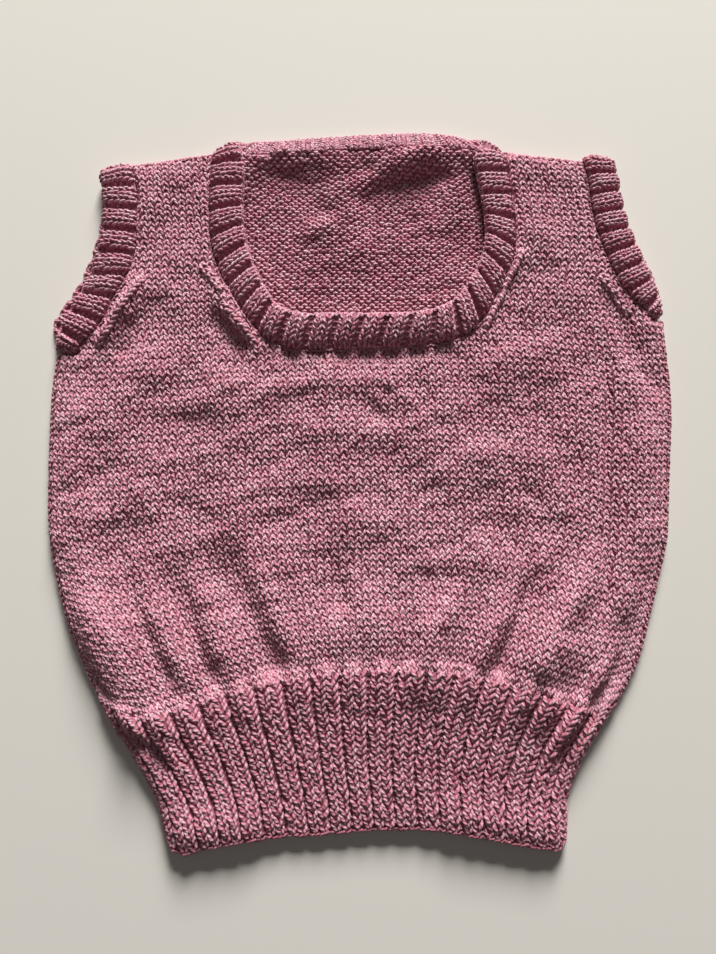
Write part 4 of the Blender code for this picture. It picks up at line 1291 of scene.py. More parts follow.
# %% Triangles inside an outline
TRIANGLE_HEIGHT = math.sqrt(0.75)  # of an even triangle whose sides are one long
RING_CLEAR = 0.85  # a ring's point counts if it is this share of its depth inside
GRID_CLEAR = 0.6  # the grid starts this many spacings inside the last ring
MERGE = 1e-5  # the triangulation joins points closer than this
SLIVER = 0.1  # twice the area of the smallest triangle that counts


def moved_in(loop, distance):
    """A loop's points moved in from its edge, along the middle of each corner."""
    before = unit(loop - np.roll(loop, 1, axis=0))
    after = unit(np.roll(loop, -1, axis=0) - loop)
    along = unit(before + after)
    return loop + np.column_stack([-along[:, 1], along[:, 0]]) * distance


def filling(loop, spacing, rings):
    """Points inside a loop: rings close to its edge, then a staggered grid."""
    kept = []
    for depth in rings:
        ring = moved_in(loop, depth)
        good = inside(ring, loop) & (distance_to(ring, loop, closed=True) > RING_CLEAR * depth)
        kept.append(ring[good])
    low = loop.min(axis=0)
    high = loop.max(axis=0)
    grid = np.array([
        (x, y)
        for i, y in enumerate(np.arange(low[1], high[1], spacing * TRIANGLE_HEIGHT))
        for x in np.arange(low[0] + (i % 2) * spacing / 2, high[0], spacing)
    ])
    clear = rings[-1] + spacing * GRID_CLEAR
    good = inside(grid, loop) & (distance_to(grid, loop, closed=True) > clear)
    return np.vstack([*kept, grid[good]])


def fill(loop, extra):
    """Triangles that fill a loop through the points inside it."""
    points = np.vstack([loop, extra])
    edges = [(i, (i + 1) % len(loop)) for i in range(len(loop))]
    corners = [Vector(point) for point in points]
    _, _, found, origins, _, _ = delaunay_2d_cdt(corners, edges, [], 0, MERGE, True)
    first = np.array([numbers[0] for numbers in origins])
    faces = first[np.array(found)]
    a, b, c = (points[faces[:, k]] for k in range(3))
    doubled = (b - a)[:, 0] * (c - a)[:, 1] - (b - a)[:, 1] * (c - a)[:, 0]
    return faces[inside((a + b + c) / 3, loop) & (np.abs(doubled) > SLIVER)]


# %% A sheet with two sides
# On its chart they lie beside each other, with the rim in a strip above them.
SIDE_SIZE = (0.48, 0.94)
SIDE_CORNER = (0.01, 0.01)
NEXT_SIDE = (0.5, 0.0)
RIM_LOW = 0.965
RIM_HIGH = 0.985


def closed_sheet(name, outer, inner, faces, rim, share, rim_chart, material):
    """A sheet with the same faces above and below, and a rim that joins them.

    Share is how far across and along the sheet each point is, from 0 to 1.
    """
    place = share * SIDE_SIZE + SIDE_CORNER
    under = faces[:, ::-1]
    chart = np.vstack([place[faces.ravel()], place[under.ravel()] + NEXT_SIDE, rim_chart])
    points = np.vstack([outer, inner])
    return piece_of(name, points, np.vstack([faces, under + len(outer), rim]), material, chart)


def sheet_piece(name, loop, top, bottom, material, spacing=5.0, rings=(1.6, 4.5)):
    """A thin closed sheet between two heights, each given as a function of the plan."""
    extra = filling(loop, spacing, rings)
    plan = np.vstack([loop, extra])
    count = len(plan)
    edge = np.arange(len(loop))
    after = np.roll(edge, -1)
    rim = np.vstack([
        np.column_stack([edge, edge + count, after + count]),
        np.column_stack([edge, after + count, after]),
    ])
    low = plan.min(axis=0)
    share = (plan - low) / (plan.max(axis=0) - low)
    start = edge / len(loop)
    end = (edge + 1) / len(loop)
    rim_u = np.vstack([np.column_stack([start, start, end]), np.column_stack([start, end, end])])
    rim_v = np.where(rim >= count, RIM_LOW, RIM_HIGH)
    return closed_sheet(
        name,
        np.column_stack([plan, top(plan)]),
        np.column_stack([plan, bottom(plan)]),
        fill(loop, extra),
        rim,
        share,
        np.column_stack([rim_u.ravel(), rim_v.ravel()]),
        material,
    )


# %% The cloth of the front
CLOTH_SINK = 0.3  # the front's cloth lies this far under the ground of its stitches
THINNEST_EDGE = 0.7
# Its inside follows this mix of the inner and the outer heights, and lies a little lower.
INNER_SHARE = 0.7
OUTER_SHARE = 0.3
INSIDE_DROP = 0.9


def front_cloth_top(plan):
    """The upper side of the cloth, just under its stitches."""
    outer, _ = front_heights(plan)
    return np.maximum(outer - STITCH_SINK - CLOTH_SINK, FOOT + THINNEST_EDGE)


def front_cloth_inside(plan):
    """The side of the cloth that faces the back."""
    outer, inner = front_heights(plan)
    return inner * INNER_SHARE + outer * OUTER_SHARE - INSIDE_DROP


front_cloth = sheet_piece(
    "front_cloth", FRONT_LOOP, front_cloth_top, front_cloth_inside, SHADED_WOOL, spacing=4.0
)
print("front cloth:", len(front_cloth.data.polygons), "faces")

# %% [markdown]
# ## The back
#
# The back lies on the table, right side down. Through the neck its wrong side shows: rows
# of small bumps, where each loop's head and the one beside it interlock like bricks. The
# underside gets its own flatter Vs, pressed level by the weight of the vest, because
# someone may turn the model over.

# %% Ridges of the back that show through the neck
BACK_FOLDS = [
    Fold("rise to the neckband", 5.8, 14.0, [(-72, 204, 1), (82, 208, 1)]),
    Fold("ridge across the back", 4.0, 8.0, [(-44, 168, 0), (-10, 180, 1), (44, 206, 1)]),
    Fold("dark hollow on the left", -3.2, 7.0,
         [(-54, 198, 0.7), (-40, 190, 1), (-24, 168, 1), (-10, 162, 0)]),
    Fold("dark hollow on the right", -3.6, 6.5, [(4, 176, 0), (26, 184, 1), (52, 192, 1)]),
    Fold("ridge by the left shoulder", 2.2, 8.0, [(-84, 178, 1), (-56, 208, 1)]),
    Fold("low ridge", 3.0, 7.0, [(-46, 148, 0), (-26, 157, 1), (-4, 168, 1)]),
    Fold("soft ridge lower down", 1.6, 13.0, [(-70, 124, 0), (-20, 136, 1), (52, 150, 0)]),
    Fold("ridge by the right strap", 2.4, 8.0, [(62, 150, 0), (66, 180, 1), (68, 204, 1)]),
    Fold("crease by the right strap", -2.2, 4.0, [(76, 170, 1), (79, 204, 1)]),
]
BACK_FLOOR = 1.9  # no trough goes deeper than this
BACK_SOFTNESS = 0.4
EASE_WIDTH = 8.0  # the back is more level within this distance of its edge
EDGE_EASE = 0.4


def back_heights(points):
    """The upper surface of the back, which swells only where nothing lies on it."""
    to_edge = distance_to(points, BACK_LOOP, closed=True)
    ease = np.clip(to_edge / EASE_WIDTH, EDGE_EASE, 1)
    lie = BACK_TOP + relief(points, BACK_FOLDS) + rumple(points) * ease
    return kept_above(lie, BACK_FLOOR, BACK_SOFTNESS)


# %% The wrong side, seen through the neck
NECK_HOLE = ring_of(NECKBAND, RIB)[:, 0:2]
BUMP_SINK = 0.75  # the bumps are worked this far under the back's upper surface
BUMP_COLUMNS = (17, 66)  # the first and last column and row that the neck may show
BUMP_ROWS = (47, 87)
purl_columns = halves(BUMP_COLUMNS[0] - 1, BUMP_COLUMNS[1] + 2)
purl_rows = halves(BUMP_ROWS[0] - 1, BUMP_ROWS[1] + 1)
column_grid, row_grid = np.meshgrid(purl_columns, purl_rows)
back_plan = body_plan(column_grid, row_grid)
surface = back_heights(back_plan.reshape(-1, 2)).reshape(column_grid.shape) - BUMP_SINK
BACK_GROUND = ground_on(
    np.dstack([back_plan, surface]), purl_columns[0], purl_rows[0], HALVES, HALVES
)


def bump_grid(columns, rows, offset):
    """The middle of every bump, all of them worked the same way round."""
    column, row = np.meshgrid(columns, rows)
    return column.ravel() + offset, row.ravel(), np.ones(column.size)


PURL_RADIUS = 0.95
PURL_SLIP = 0.06
bump_columns = np.arange(BUMP_COLUMNS[0], BUMP_COLUMNS[1] + 1)
bump_rows = np.arange(BUMP_ROWS[0], BUMP_ROWS[1] + 1)
heads = strands(
    BACK_GROUND,
    *bump_grid(bump_columns, bump_rows, 0.5),
    PURL_BUMP,
    radius=PURL_RADIUS,
    unevenness=PURL_SLIP,
)
sinkers = strands(
    BACK_GROUND,
    *bump_grid(bump_columns, bump_rows + 0.5, 0.0),
    PURL_BUMP,
    height=-1.0,
    radius=PURL_RADIUS,
    unevenness=PURL_SLIP,
)


def in_neck(made):
    """The strands that can be seen through the neck."""
    middle = made.points[:, 2, 2, :2]
    return chosen(made, inside(middle, NECK_HOLE) & inside(middle, BACK_LOOP))


back_bumps = knitted_piece("back_bumps", [in_neck(heads), in_neck(sinkers)], PAINTED_LIGHT_WRONG_SIDE_YARN)

# %% The right side, which lies on the table
UNDERSIDE = 0.8  # height of the ground that faces the table
UNDER_CLOTH = 0.72  # height of the cloth's own underside
BACK_CLOTH_SINK = 0.9
FIRST_UNDER_ROW = 0.3


def level_lattice(plan, height):
    """A lattice whose points all have the same height."""
    return np.dstack([plan, np.full(plan.shape[:2], height)])


UNDER_GROUND = ground_on(
    level_lattice(front_plan, UNDERSIDE), COLUMNS[0], ROWS[0], HALVES, HALVES, flip=True
)
under_legs = strands(
    UNDER_GROUND,
    *knit_grid(np.arange(0.5, BODY_STITCHES), np.arange(FIRST_UNDER_ROW, BODY_ROWS + 1)),
    PLAIN_LEG,
    radius=0.9,
    half=ROUGH_HALF,
)
under_legs = within_panel(under_legs, BACK_LOOP, EDGE_MARGIN)
back_stitches = knitted_piece("back_stitches", [under_legs], BODY_YARN)

back_cloth = sheet_piece(
    "back_cloth",
    BACK_LOOP,
    lambda plan: back_heights(plan) - BACK_CLOTH_SINK,
    lambda plan: np.full(len(plan), UNDER_CLOTH),
    SHADED_WOOL,
)

# %% [markdown]
# ## The welts
#
# Below the gathers the vest is worked in rib: two knit columns stand up, two purl columns
# sink between them, and the whole fabric draws in like a spring. The ribs fan out from
# the hem. Both panels have the same welt. Only the front one is seen, so the back one is
# level with the table.

# %% The lie of a rib
def hump(phase, flat, foot):
    """1 over the knit stitches of a rib, which is at whole numbers, and 0 in its valley."""
    away = np.abs((np.asarray(phase) + 0.5) % 1 - 0.5)
    share = np.clip((away - flat) / (foot - flat), 0, 1)
    return 1 - share * share * (3 - 2 * share)


def welt_sheet(columns, rows):
    """Points of the welt between its sides, from the gathered line down to the hem."""
    top = evenly(smooth(WELT_TOP), columns) - (0.0, SEAM_GAP)
    hem = evenly(smooth(HEM), columns)
    left = evenly(side_line("left", HEM[0].y, WELT_TOP[0].y - SEAM_GAP)[::-1], rows)
    right = evenly(side_line("right", HEM[-1].y, WELT_TOP[-1].y - SEAM_GAP)[::-1], rows)
    down = np.linspace(0, 1, rows)[:, None, None]
    across = np.linspace(0, 1, columns)[None, :, None]
    between = (1 - down) * top[None] + down * hem[None]
    left_bow = left - ((1 - down[:, 0]) * top[0] + down[:, 0] * hem[0])
    right_bow = right - ((1 - down[:, 0]) * top[-1] + down[:, 0] * hem[-1])
    return between + (1 - across) * left_bow[:, None] + across * right_bow[:, None]


# %% The surface of the front welt
WELT_RIBS = WELT_STITCHES / RIB
WELT_STEPS = 8  # lattice columns to a rib
WELT_FLAT = 0.36  # from its middle a rib is level this far, counted in ribs
WELT_FOOT = 0.50  # and here it reaches the bottom of its valley
WELT_RELIEF = 2.8
WELT_FLOOR = 4.9
BODY_REACH = 15.0  # how far the lie of the body carries on down the welt
# The ribs stand up less at the two ends of the welt, and start more slowly at its top.
END_SPAN = 0.08
TOP_EASE = 0.8
END_RELIEF = 0.35
rib_phase = np.arange(int(WELT_RIBS * WELT_STEPS) + 1) / WELT_STEPS - HALF_STITCH
welt_plan = welt_sheet(len(rib_phase), 2 * WELT_ROWS + 1)
flat_welt = welt_plan.reshape(-1, 2)
welt_sides = [welt_plan[:, 0], welt_plan[:, -1]]
to_side = np.min([distance_to(flat_welt, side) for side in welt_sides], axis=0)
roll = rounded(to_side, FOLD_RADIUS).reshape(welt_plan.shape[:2])
down = np.linspace(0, 1, len(welt_plan))[:, None]
welt_crest = WELT_TOP_HEIGHT + (WELT_HEM_HEIGHT - WELT_TOP_HEIGHT) * down
welt_crest = welt_crest + relief(flat_welt, WELT_FOLDS).reshape(welt_plan.shape[:2])
below_line = np.linalg.norm(welt_plan - welt_plan[:1], axis=2)
body_share = np.exp(-((below_line / BODY_REACH) ** 2))
line_crest = body_crest(welt_plan[0] + (0.0, SEAM_GAP))
welt_crest = line_crest[None] * body_share + welt_crest * (1 - body_share)
welt_ends = np.clip(np.minimum(down * TOP_EASE, 1 - down) / END_SPAN, END_RELIEF, 1)
welt_rib = hump(rib_phase, WELT_FLAT, WELT_FOOT)[None] - RIB_MEAN
welt_crest = welt_crest + WELT_RELIEF * welt_rib * welt_ends
welt_crest = kept_above(welt_crest, WELT_FLOOR)
welt_outer = FOOT + EDGE_LIP + (welt_crest - FOOT - EDGE_LIP) * roll - STITCH_SINK
welt_inner = FOOT + (WELT_INNER_HEIGHT - FOOT) * roll
WELT_GROUND = ground_on(
    np.dstack([welt_plan, welt_outer])[::-1], rib_phase[0], 0.0, WELT_STEPS, HALVES
)
print("welt heights:", welt_outer.min().round(1), "to", welt_outer.max().round(1), "mm")

# %% Its stitches
def rib_columns(ribs, offset, spread):
    """The middles of the two knit columns of each rib."""
    return np.sort(np.concatenate([ribs + offset - spread, ribs + offset + spread]))


WELT_SPREAD = 0.21
KNIT_MIDDLE = 0.45  # how far up its row a knit stitch of a rib has its middle
LAST_COLUMN_GAP = 0.05
welt_knit = rib_columns(np.arange(math.ceil(WELT_RIBS)), 0.0, WELT_SPREAD)
welt_knit = welt_knit[welt_knit < WELT_RIBS - HALF_STITCH - LAST_COLUMN_GAP]
welt_rows = np.arange(KNIT_MIDDLE, WELT_ROWS)
welt_legs = strands(
    WELT_GROUND,
    *knit_grid(welt_knit, welt_rows),
    KNIT_LEG,
    width=2 * WELT_SPREAD,
    height=1.1,
    radius=1.24,
)
valleys = np.arange(int(WELT_RIBS)) + 0.5
welt_bumps = strands(
    WELT_GROUND,
    *bump_grid(valleys, np.arange(0.5, WELT_ROWS), 0.0),
    PURL_HEAD,
    width=0.16,
    height=0.9,
    radius=0.75,
    half=ROUGH_HALF,
)
front_welt_stitches = knitted_piece("front_welt_stitches", [welt_legs, welt_bumps], PAINTED_SHADE_RIB_YARN)

# %% The cloth of the welts
def grid_piece(name, outer, inner, material):
    """A closed sheet between two lattices of the same rows and columns."""
    rows, columns = outer.shape[:2]
    under = rows * columns  # a point's number on the inner side is this much higher
    index = np.arange(under).reshape(rows, columns)
    around = np.concatenate([index[0, :-1], index[:-1, -1], index[-1, :0:-1], index[:0:-1, 0]])
    top = np.stack([index[:-1, :-1], index[:-1, 1:], index[1:, 1:], index[1:, :-1]], axis=-1)
    top = top.reshape(-1, 4)
    after = np.roll(around, -1)
    rim = np.column_stack([around, around + under, after + under, after])
    share = np.stack(np.meshgrid(np.linspace(0, 1, columns), np.linspace(0, 1, rows)), axis=-1)
    start = np.arange(len(around)) / len(around)
    end = start + 1 / len(around)
    rim_chart = np.column_stack([
        np.column_stack([start, start, end, end]).ravel(),
        np.tile([RIM_HIGH, RIM_LOW, RIM_LOW, RIM_HIGH], len(around)),
    ])
    return closed_sheet(
        name,
        outer.reshape(-1, 3),
        inner.reshape(-1, 3),
        top,
        rim,
        share.reshape(-1, 2),
        rim_chart,
        material,
    )


WELT_CLOTH_SINK = 0.1
front_welt_cloth = grid_piece(
    "front_welt_cloth",
    np.dstack([welt_plan, welt_outer - WELT_CLOTH_SINK])[::-1],
    np.dstack([welt_plan, welt_inner])[::-1],
    SHADED_WOOL,
)
back_welt_cloth = grid_piece(
    "back_welt_cloth",
    level_lattice(welt_plan, BACK_TOP)[::-1],
    level_lattice(welt_plan, UNDER_CLOTH)[::-1],
    SHADED_WOOL,
)
UNDER_WELT = ground_on(
    level_lattice(welt_plan, UNDERSIDE)[::-1], rib_phase[0], 0.0, WELT_STEPS, HALVES, flip=True
)
under_welt_legs = strands(
    UNDER_WELT,
    *knit_grid(welt_knit, welt_rows),
    PLAIN_LEG,
    width=2 * WELT_SPREAD,
    radius=0.95,
    half=ROUGH_HALF,
)
back_welt_stitches = knitted_piece("back_welt_stitches", [under_welt_legs], PAINTED_SHADE_RIB_YARN)

# %% [markdown]
# ## The bands
#
# Each band is picked up along a raw edge and worked outward in rib for six rows, then
# bound off. It closes on itself, so it is a ring that lies folded: the front half faces
# up, the back half faces the table. Where the back half peeks out, its wrong side shows,
# and two-by-two rib looks the same from there with knit and purl changed over.

# %% The sizes of a band
BAND_STEPS = 10  # lattice columns to a rib
BAND_FLAT = 0.26
BAND_FOOT = 0.45
BAND_SPREAD = 0.185  # how far each knit column is from the middle of its rib
BAND_RELIEF = 3.4
BAND_SINK = 0.4  # a band's stitches sink this much deeper than the body's
BACK_BAND_LIFT = 5.8  # the back neck's seam rides up on the crumpled back
FRONT_HALF = 4.4  # a band's front half lies above this height
TURN_SPAN = 1.5  # over this much height the front half turns into the back half
UNDER_ARCH = 1.3  # the back half arches up this many times as much
# How much of a rib's relief there is from the picked-up edge out to the free rim.
RELIEF_PLACES = (0.0, 0.1, 0.25, 0.8, 0.92, 1.0)
RELIEF_SHARES = (0.1, 0.8, 1.0, 1.0, 0.8, 0.3)
WRONG_RELIEF = 0.9  # relief of the wrong side, and what the back neck has on top of it
BACK_NECK_RELIEF = 0.6
WRONG_SINK = 0.5
BAND_FLOOR = 0.5  # the table keeps the stitches of a band above this
BAND_CLOTH_FLOOR = 0.35

# %% Its right and wrong side
def behind(band, ring):
    """1 on the part of the neckband that lies on the table, 0 elsewhere."""
    below = (FRONT_HALF - middle_line(ring)[:, 2]) / TURN_SPAN
    return np.clip(below, 0, 1) * (band is NECKBAND)


def band_lattice(band, face):
    """Points of a band's right side (face 1) or wrong side (face -1), closed round."""
    ring = ring_of(band, BAND_STEPS)
    out = outward(ring, band.facing)
    share = np.linspace(0, 1, 2 * BAND_ROWS + 1)[:, None]
    phase = np.arange(len(ring)) / BAND_STEPS - HALF_STITCH
    # The half that lies on the table arches up from it, not down into it.
    upward = np.clip((middle_line(ring)[:, 2] - FRONT_HALF) / TURN_SPAN, -UNDER_ARCH, 1)
    bow = ring[:, 6] * upward * 4 * share * (1 - share)
    below = behind(band, ring)
    bow = bow * (1 - below) - below * BACK_BAND_LIFT * (1 - share)
    ends = np.interp(share, RELIEF_PLACES, RELIEF_SHARES)
    knit = hump(phase, BAND_FLAT, BAND_FOOT)
    if face > 0:
        ribs = BAND_RELIEF * knit * ends
        rise = CLOTH / 2 + bow + ribs - STITCH_SINK - BAND_SINK
    else:
        relief_here = WRONG_RELIEF + BACK_NECK_RELIEF * below
        ribs = relief_here * hump(phase + 0.5, BAND_FLAT, BAND_FOOT) * ends
        rise = bow - CLOTH / 2 + WRONG_SINK - ribs
    edge = ring[:, 0:3]
    free = ring[:, 3:6]
    reach = share * (1 + band.scallop * (knit - RIB_MEAN))
    return edge + (free - edge) * reach[..., None] + out * rise[..., None]


def band_ground(band, face):
    """A band's lattice as a ground, with one more rib at each end to close the ring."""
    lattice = band_lattice(band, face)
    count = lattice.shape[1]
    turn = np.arange(-BAND_STEPS, count + BAND_STEPS + 1) % count
    lattice = lattice[:, turn]
    lattice[..., 2] = np.maximum(lattice[..., 2], BAND_FLOOR)
    out = outward(ring_of(band, BAND_STEPS), band.facing)[turn] * face
    return ground_facing(out[None], lattice, -1 - HALF_STITCH, 0.0, BAND_STEPS, HALVES)


# %% Its stitches and cloth
# The purl bumps sink between the ribs of the right side and lie wider on the wrong side.
PURL_FORM = {
    1: {"width": 0.24, "radius": 0.75, "lift": -0.5},
    -1: {"width": 0.5, "radius": 0.95, "lift": 0.0},
}


def band_stitches(band, face, ribs):
    """The knit columns and the purl bumps of some ribs on one face of a band."""
    ground = band_ground(band, face)
    offset = 0.0 if face > 0 else 0.5
    legs = strands(
        ground,
        *knit_grid(rib_columns(ribs, offset, BAND_SPREAD), np.arange(KNIT_MIDDLE, BAND_ROWS)),
        BAND_LEG,
        width=2 * BAND_SPREAD,
        radius=1.0,
        unevenness=0.04,
    )
    bumps = strands(
        ground,
        *bump_grid(ribs, np.arange(0.5, BAND_ROWS), offset + 0.5),
        PURL_HEAD,
        height=0.9,
        half=ROUGH_HALF,
        **PURL_FORM[face],
    )
    return [legs, bumps]


def band_cloth(band):
    """The closed ring of cloth behind a band's stitches."""
    right = band_lattice(band, 1)
    wrong = band_lattice(band, -1)
    section = np.concatenate([right, wrong[::-1]], axis=0)
    section[..., 2] = np.maximum(section[..., 2], BAND_CLOTH_FLOOR)
    sides, count = section.shape[:2]
    index = np.arange(sides * count).reshape(sides, count)
    after = np.roll(index, -1, axis=1)
    above = np.roll(index, -1, axis=0)
    both = np.roll(after, -1, axis=0)
    faces = np.stack([index, after, both, above], axis=-1).reshape(-1, 4)
    j, i = np.meshgrid(np.arange(sides), np.arange(count), indexing="ij")
    u = np.stack([i, i + 1, i + 1, i], axis=-1) / count
    v = np.stack([j, j, j + 1, j + 1], axis=-1) / sides
    chart = np.stack([u, v], axis=-1).reshape(-1, 4, 2)
    if band.facing < 0:
        faces = faces[:, ::-1]
        chart = chart[:, ::-1]
    points = section.reshape(-1, 3)
    return piece_of(band.name + "_cloth", points, faces, SHADED_WOOL, chart.reshape(-1, 2))


# %% Its bound-off rim
RIM_STEPS = 12  # lattice rows to a rib
RIM_SECTION = ((1.5, -0.9), (0.9, 0.3), (-0.3, 0.7), (-1.2, 0.1))  # up and forward, over the rim
RIM_SWELL = 0.6  # how far the rim rises over each knit rib
RIM_DROP = 0.3
RIM_TUCK = 0.4
RIM_COLUMN = 0.42  # where the chain's middle is, counted from the top of the section


def rim_chain(band):
    """The bound-off edge: a chain of stitches that lies along the free rim."""
    ring = ring_of(band, RIM_STEPS)
    out = outward(ring, band.facing)
    free = ring[:, 3:6]
    reach = unit(free - ring[:, 0:3])
    phase = np.arange(len(ring)) / RIM_STEPS - HALF_STITCH
    swell = hump(phase, BAND_FLAT, BAND_FOOT)[:, None]
    wave = RIM_SWELL * swell
    reach_out = (free - ring[:, 0:3]) * band.scallop * (swell - RIB_MEAN)
    rows = [
        free + reach_out + out * (rise + wave - RIM_DROP) + reach * (forward - RIM_TUCK)
        for rise, forward in RIM_SECTION
    ]
    lattice = np.stack(rows, axis=0)
    turn = np.arange(-RIM_STEPS, len(ring) + RIM_STEPS + 1) % len(ring)
    lattice = lattice[:, turn].transpose(1, 0, 2)
    lattice[..., 2] = np.maximum(lattice[..., 2], BAND_FLOOR)
    made = ground_facing(
        reach[turn][:, None], lattice, 0.0, -1.0, len(RIM_SECTION) - 1, RIM_STEPS
    )
    links = np.arange(0, band.ribs, 1 / RIB)
    column, row, side = knit_grid(np.array([RIM_COLUMN]), links)
    return strands(made, column, row, side, CHAIN_LINK, width=0.85, height=0.25, radius=0.62)


def wrong_side_ribs(band):
    """The ribs of the half that faces the table, whose wrong side can be seen."""
    ring = ring_of(band, 1)
    return np.flatnonzero(middle_line(ring)[:, 2] < FRONT_HALF).astype(float)


# %% The three bands
band_pieces = {}
for band in BANDS:
    groups = band_stitches(band, 1, np.arange(band.ribs).astype(float))
    groups += band_stitches(band, -1, wrong_side_ribs(band))
    stitches = knitted_piece(band.name + "_stitches", groups, BAND_YARN)
    rim = knitted_piece(band.name + "_rim", [rim_chain(band)], RIM_YARN)
    band_pieces[band.name] = (band_cloth(band), stitches, rim)

# %% [markdown]
# ## Edges and seams
#
# Where the front turns into the back a column of stitches runs round the edge, with the
# side seam hidden in it. Along the hem the cast-on shows as a row of little links. The
# shaped edges are drawn in by pairs of stitches knitted together, which stand up as a
# rope beside the bands.

# %% Chains along a line
def ribbon(line, heights, lean, reach):
    """A ground along a line of plan points, from its first height to its last.

    Lean is how far each height's row of points stands out from the line.
    """
    along = unit(np.gradient(line, axis=0))
    aside = np.column_stack([along[:, 1], -along[:, 0]]) * reach
    columns = [
        np.column_stack([line + aside * out, np.broadcast_to(height, len(line))])
        for height, out in zip(heights, lean)
    ]
    return np.stack(columns, axis=1)


def chain_along(lattice, pitch, outward_side, shape=KNIT_LEG, radius=0.85, unevenness=0.05):
    """A column of stitches up a ribbon."""
    length = np.linalg.norm(np.diff(lattice[:, 1], axis=0), axis=1).sum()
    count = max(3, round(length / pitch))
    steps = (len(lattice) - 1) / count
    made = ground_facing(outward_side, lattice, 0.0, 0.0, lattice.shape[1] - 1, steps)
    column, row, side = knit_grid(np.array([0.5]), np.arange(count) + 0.5)
    return strands(made, column, row, side, shape, radius=radius, unevenness=unevenness)


def out_of(line, reach):
    """The level direction out of the cloth beside each point of a line."""
    along = unit(np.gradient(line, axis=0))
    return np.column_stack([along[:, 1], -along[:, 0], np.zeros(len(line))])[:, None] * reach


# %% Down the sides and over the shoulders
EDGE_HEIGHTS = (5.3, 4.2, 3.1, 2.0, 0.9)
EDGE_LEAN = (-0.7, 0.0, 0.25, 0.1, -0.5)
SIDE_FOOT = -205.5
SIDE_POINTS = 160
SIDE_PITCH = 3.75
SHOULDER_POINTS = 40
SHOULDER_PITCH = 4.2
side_chains = []
for side, top, reach in (("left", LEFT_UNDERARM, -1.0), ("right", RIGHT_UNDERARM, 1.0)):
    line = evenly(side_line(side, SIDE_FOOT, top), SIDE_POINTS)
    lattice = ribbon(line, EDGE_HEIGHTS, EDGE_LEAN, reach)
    side_chains.append(chain_along(lattice, SIDE_PITCH, out_of(line, reach)))
for shoulder in FRONT_EDGES[1:3]:
    line = evenly(shoulder, SHOULDER_POINTS)
    lattice = ribbon(line, EDGE_HEIGHTS, EDGE_LEAN, 1.0)
    side_chains.append(chain_along(lattice, SHOULDER_PITCH, out_of(line, 1.0)))
edge_stitches = knitted_piece("edge_stitches", side_chains, BODY_YARN)

# %% The cast-on hem
HEM_POINTS = 300
HEM_PITCH = 3.1
HEM_SLIP = 0.08
HEM_SWING = 0.8  # each knit rib pushes the hem out by this much
hem_line = evenly(smooth(HEM), HEM_POINTS)
hem_phase = np.linspace(0, WELT_RIBS, HEM_POINTS) - HALF_STITCH
hem_share = np.linspace(0, 1, HEM_POINTS)
hem_top = np.interp(hem_share, np.linspace(0, 1, len(rib_phase)), welt_outer[-1]) + STITCH_SINK
hem_drop = HEM_SWING * hump(hem_phase, WELT_FLAT, WELT_FOOT)
hem_low = hem_line - np.column_stack([np.zeros(HEM_POINTS), hem_drop])
front_hem = ribbon(hem_low, heights=(0.0, -0.8, -2.0), lean=(-0.9, 0.1, -0.2), reach=1.0)
front_hem[..., 2] += hem_top[:, None]
back_hem = ribbon(hem_line, heights=(2.4, 1.5, 0.6), lean=(-0.4, 0.1, -0.2), reach=1.0)
hem_chains = [
    chain_along(lattice, HEM_PITCH, out_of(line, 1.0), CHAIN_LINK, radius, HEM_SLIP)
    for lattice, line, radius in ((front_hem, hem_low, 0.85), (back_hem, hem_line, 0.8))
]
hem_edge = knitted_piece("hem_edge", hem_chains, PAINTED_SHADE_RIB_YARN)

# %% Picked-up edges and rows of decreases
Rope = namedtuple("Rope", "name x0 y0 x1 y1 radius")
ROPES = [
    Rope("left armhole decreases", -158.5, 79.0, -131.0, 124.5, 1.4),
    Rope("left neck decreases, upper", -97.0, 131.0, -82.0, 112.5, 1.35),
    Rope("left neck decreases, lower", -82.5, 104.0, -62.0, 79.5, 1.35),
    Rope("right neck decreases", 101.0, 139.5, 77.0, 90.5, 1.35),
    Rope("right armhole decreases", 149.5, 125.0, 166.5, 98.5, 1.25),
]


def surface_ribbon(line, width, rise, ends=1.0):
    """A ribbon that lies on the front, beside a line. It can sink into the cloth at its ends."""
    along = unit(np.gradient(line, axis=0))
    aside = np.column_stack([along[:, 1], -along[:, 0]])
    place = np.linspace(-1, 1, len(line))
    rise = rise * (ends + (1 - ends) * np.sqrt(1 - place**4))
    columns = []
    for share in (-0.5, 0.0, 0.5):
        plan = line + aside * width * share
        height = front_heights(plan)[0] - STITCH_SINK + rise * (1.0 - abs(share))
        columns.append(np.column_stack([plan, height]))
    return np.stack(columns, axis=1)


UP = np.array([0.0, 0.0, 1.0])
ROPE_POINTS = 24
ROPE_PITCH = 4.0
SEAM_PITCH = 3.4
SEAM_YARN = 0.62
rope_chains = []
for rope in ROPES:
    line = evenly(np.array([(rope.x0, rope.y0), (rope.x1, rope.y1)]), ROPE_POINTS)
    lattice = surface_ribbon(line, width=4.6, rise=1.7, ends=-0.3)
    rope_chains.append(chain_along(lattice, ROPE_PITCH, UP, KNIT_LEG, rope.radius))
for band in BANDS:
    line = seam_line(band, "front")
    line = evenly(line, 4 * len(line))
    lattice = surface_ribbon(line, width=2.6, rise=0.5)
    rope_chains.append(chain_along(lattice, SEAM_PITCH, UP, CHAIN_LINK, SEAM_YARN))
shaping = knitted_piece("shaping_stitches", rope_chains, BODY_YARN)

# %% [markdown]
# ## Carry and measure
#
# Nothing on a vest moves by itself, so every piece rides on the one body. The size each
# sheet was worked to before it was laid down is printed, in millimetres.

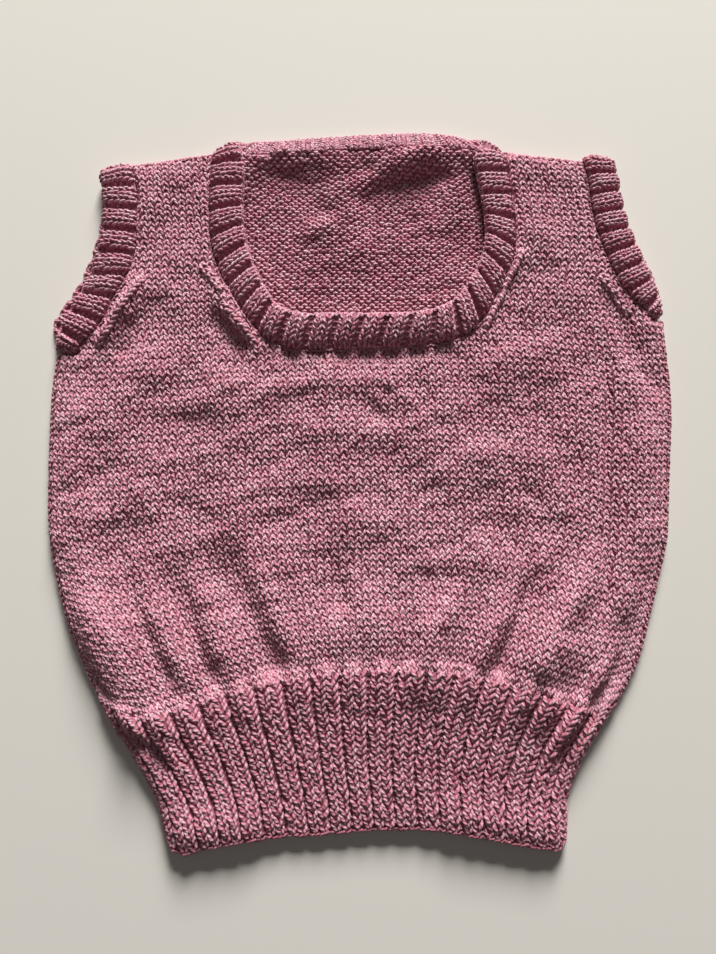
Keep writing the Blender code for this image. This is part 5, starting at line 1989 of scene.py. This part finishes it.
# %% What rides on what
plain = [front_cloth, front_lower, front_upper, back_cloth, back_bumps, back_stitches,
         edge_stitches, shaping]
for piece in plain:
    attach(piece, "root")
ribbed = [front_welt_cloth, front_welt_stitches, back_welt_cloth, back_welt_stitches, hem_edge]
for trio in band_pieces.values():
    ribbed += trio
for piece in ribbed:
    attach(piece, "root")
print(len(plain), "pieces of stocking stitch and", len(ribbed), "of rib")
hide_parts("front")
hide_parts("back")
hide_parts("front_welt")
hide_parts("back_welt")
for name, trio in band_pieces.items():
    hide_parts(name)

# %% The size each sheet was worked to
def loop_area(loop):
    """The area inside a closed line of plan points."""
    x, y = loop[:, 0], loop[:, 1]
    return abs(x @ np.roll(y, -1) - y @ np.roll(x, -1)) / 2


def worked_sheet(piece, width, length, area, rests_on, with_pieces):
    """Say how large a sheet is when it lies flat on its own, in millimetres."""
    print(f"{piece.name}: {width:.0f} x {length:.0f} mm, {area / (width * length):.0%} of it cloth")


worked_sheet(front_cloth, *PANEL_SIZE, loop_area(FRONT_LOOP), [back_cloth],
             [front_lower, front_upper, shaping])
worked_sheet(back_cloth, *PANEL_SIZE, loop_area(BACK_LOOP), [],
             [back_bumps, back_stitches, edge_stitches])
welt_loop = np.vstack([
    welt_plan[0], welt_plan[1:, -1], welt_plan[-1, -2::-1], welt_plan[-2:0:-1, 0]
])
welt_size = (np.ptp(welt_plan[0, :, 0]), WELT_ROWS * WELT_ROW)
welt_area = min(loop_area(welt_loop), welt_size[0] * welt_size[1])
worked_sheet(front_welt_cloth, *welt_size, welt_area, [back_welt_cloth],
             [front_welt_stitches, hem_edge])
worked_sheet(back_welt_cloth, *welt_size, welt_area, [], [back_welt_stitches])
for band in BANDS:
    cloth, stitches, rim = band_pieces[band.name]
    ring = ring_of(band, RIB)
    middle = middle_line(ring)
    length = np.linalg.norm(middle - np.roll(middle, 1, axis=0), axis=1).sum()
    width = np.linalg.norm(ring[:, 3:6] - ring[:, 0:3], axis=1).mean()
    worked_sheet(cloth, length, width, length * width, [back_cloth], [stitches, rim])

# %% Triangles and bounds
triangles = []
for drawn in bpy.data.objects:
    if drawn.type == "MESH" and not drawn.hide_render:
        drawn.data.calc_loop_triangles()
        triangles.append(len(drawn.data.loop_triangles))
print("triangles:", sum(triangles), "in all, at most", max(triangles), "in a piece")
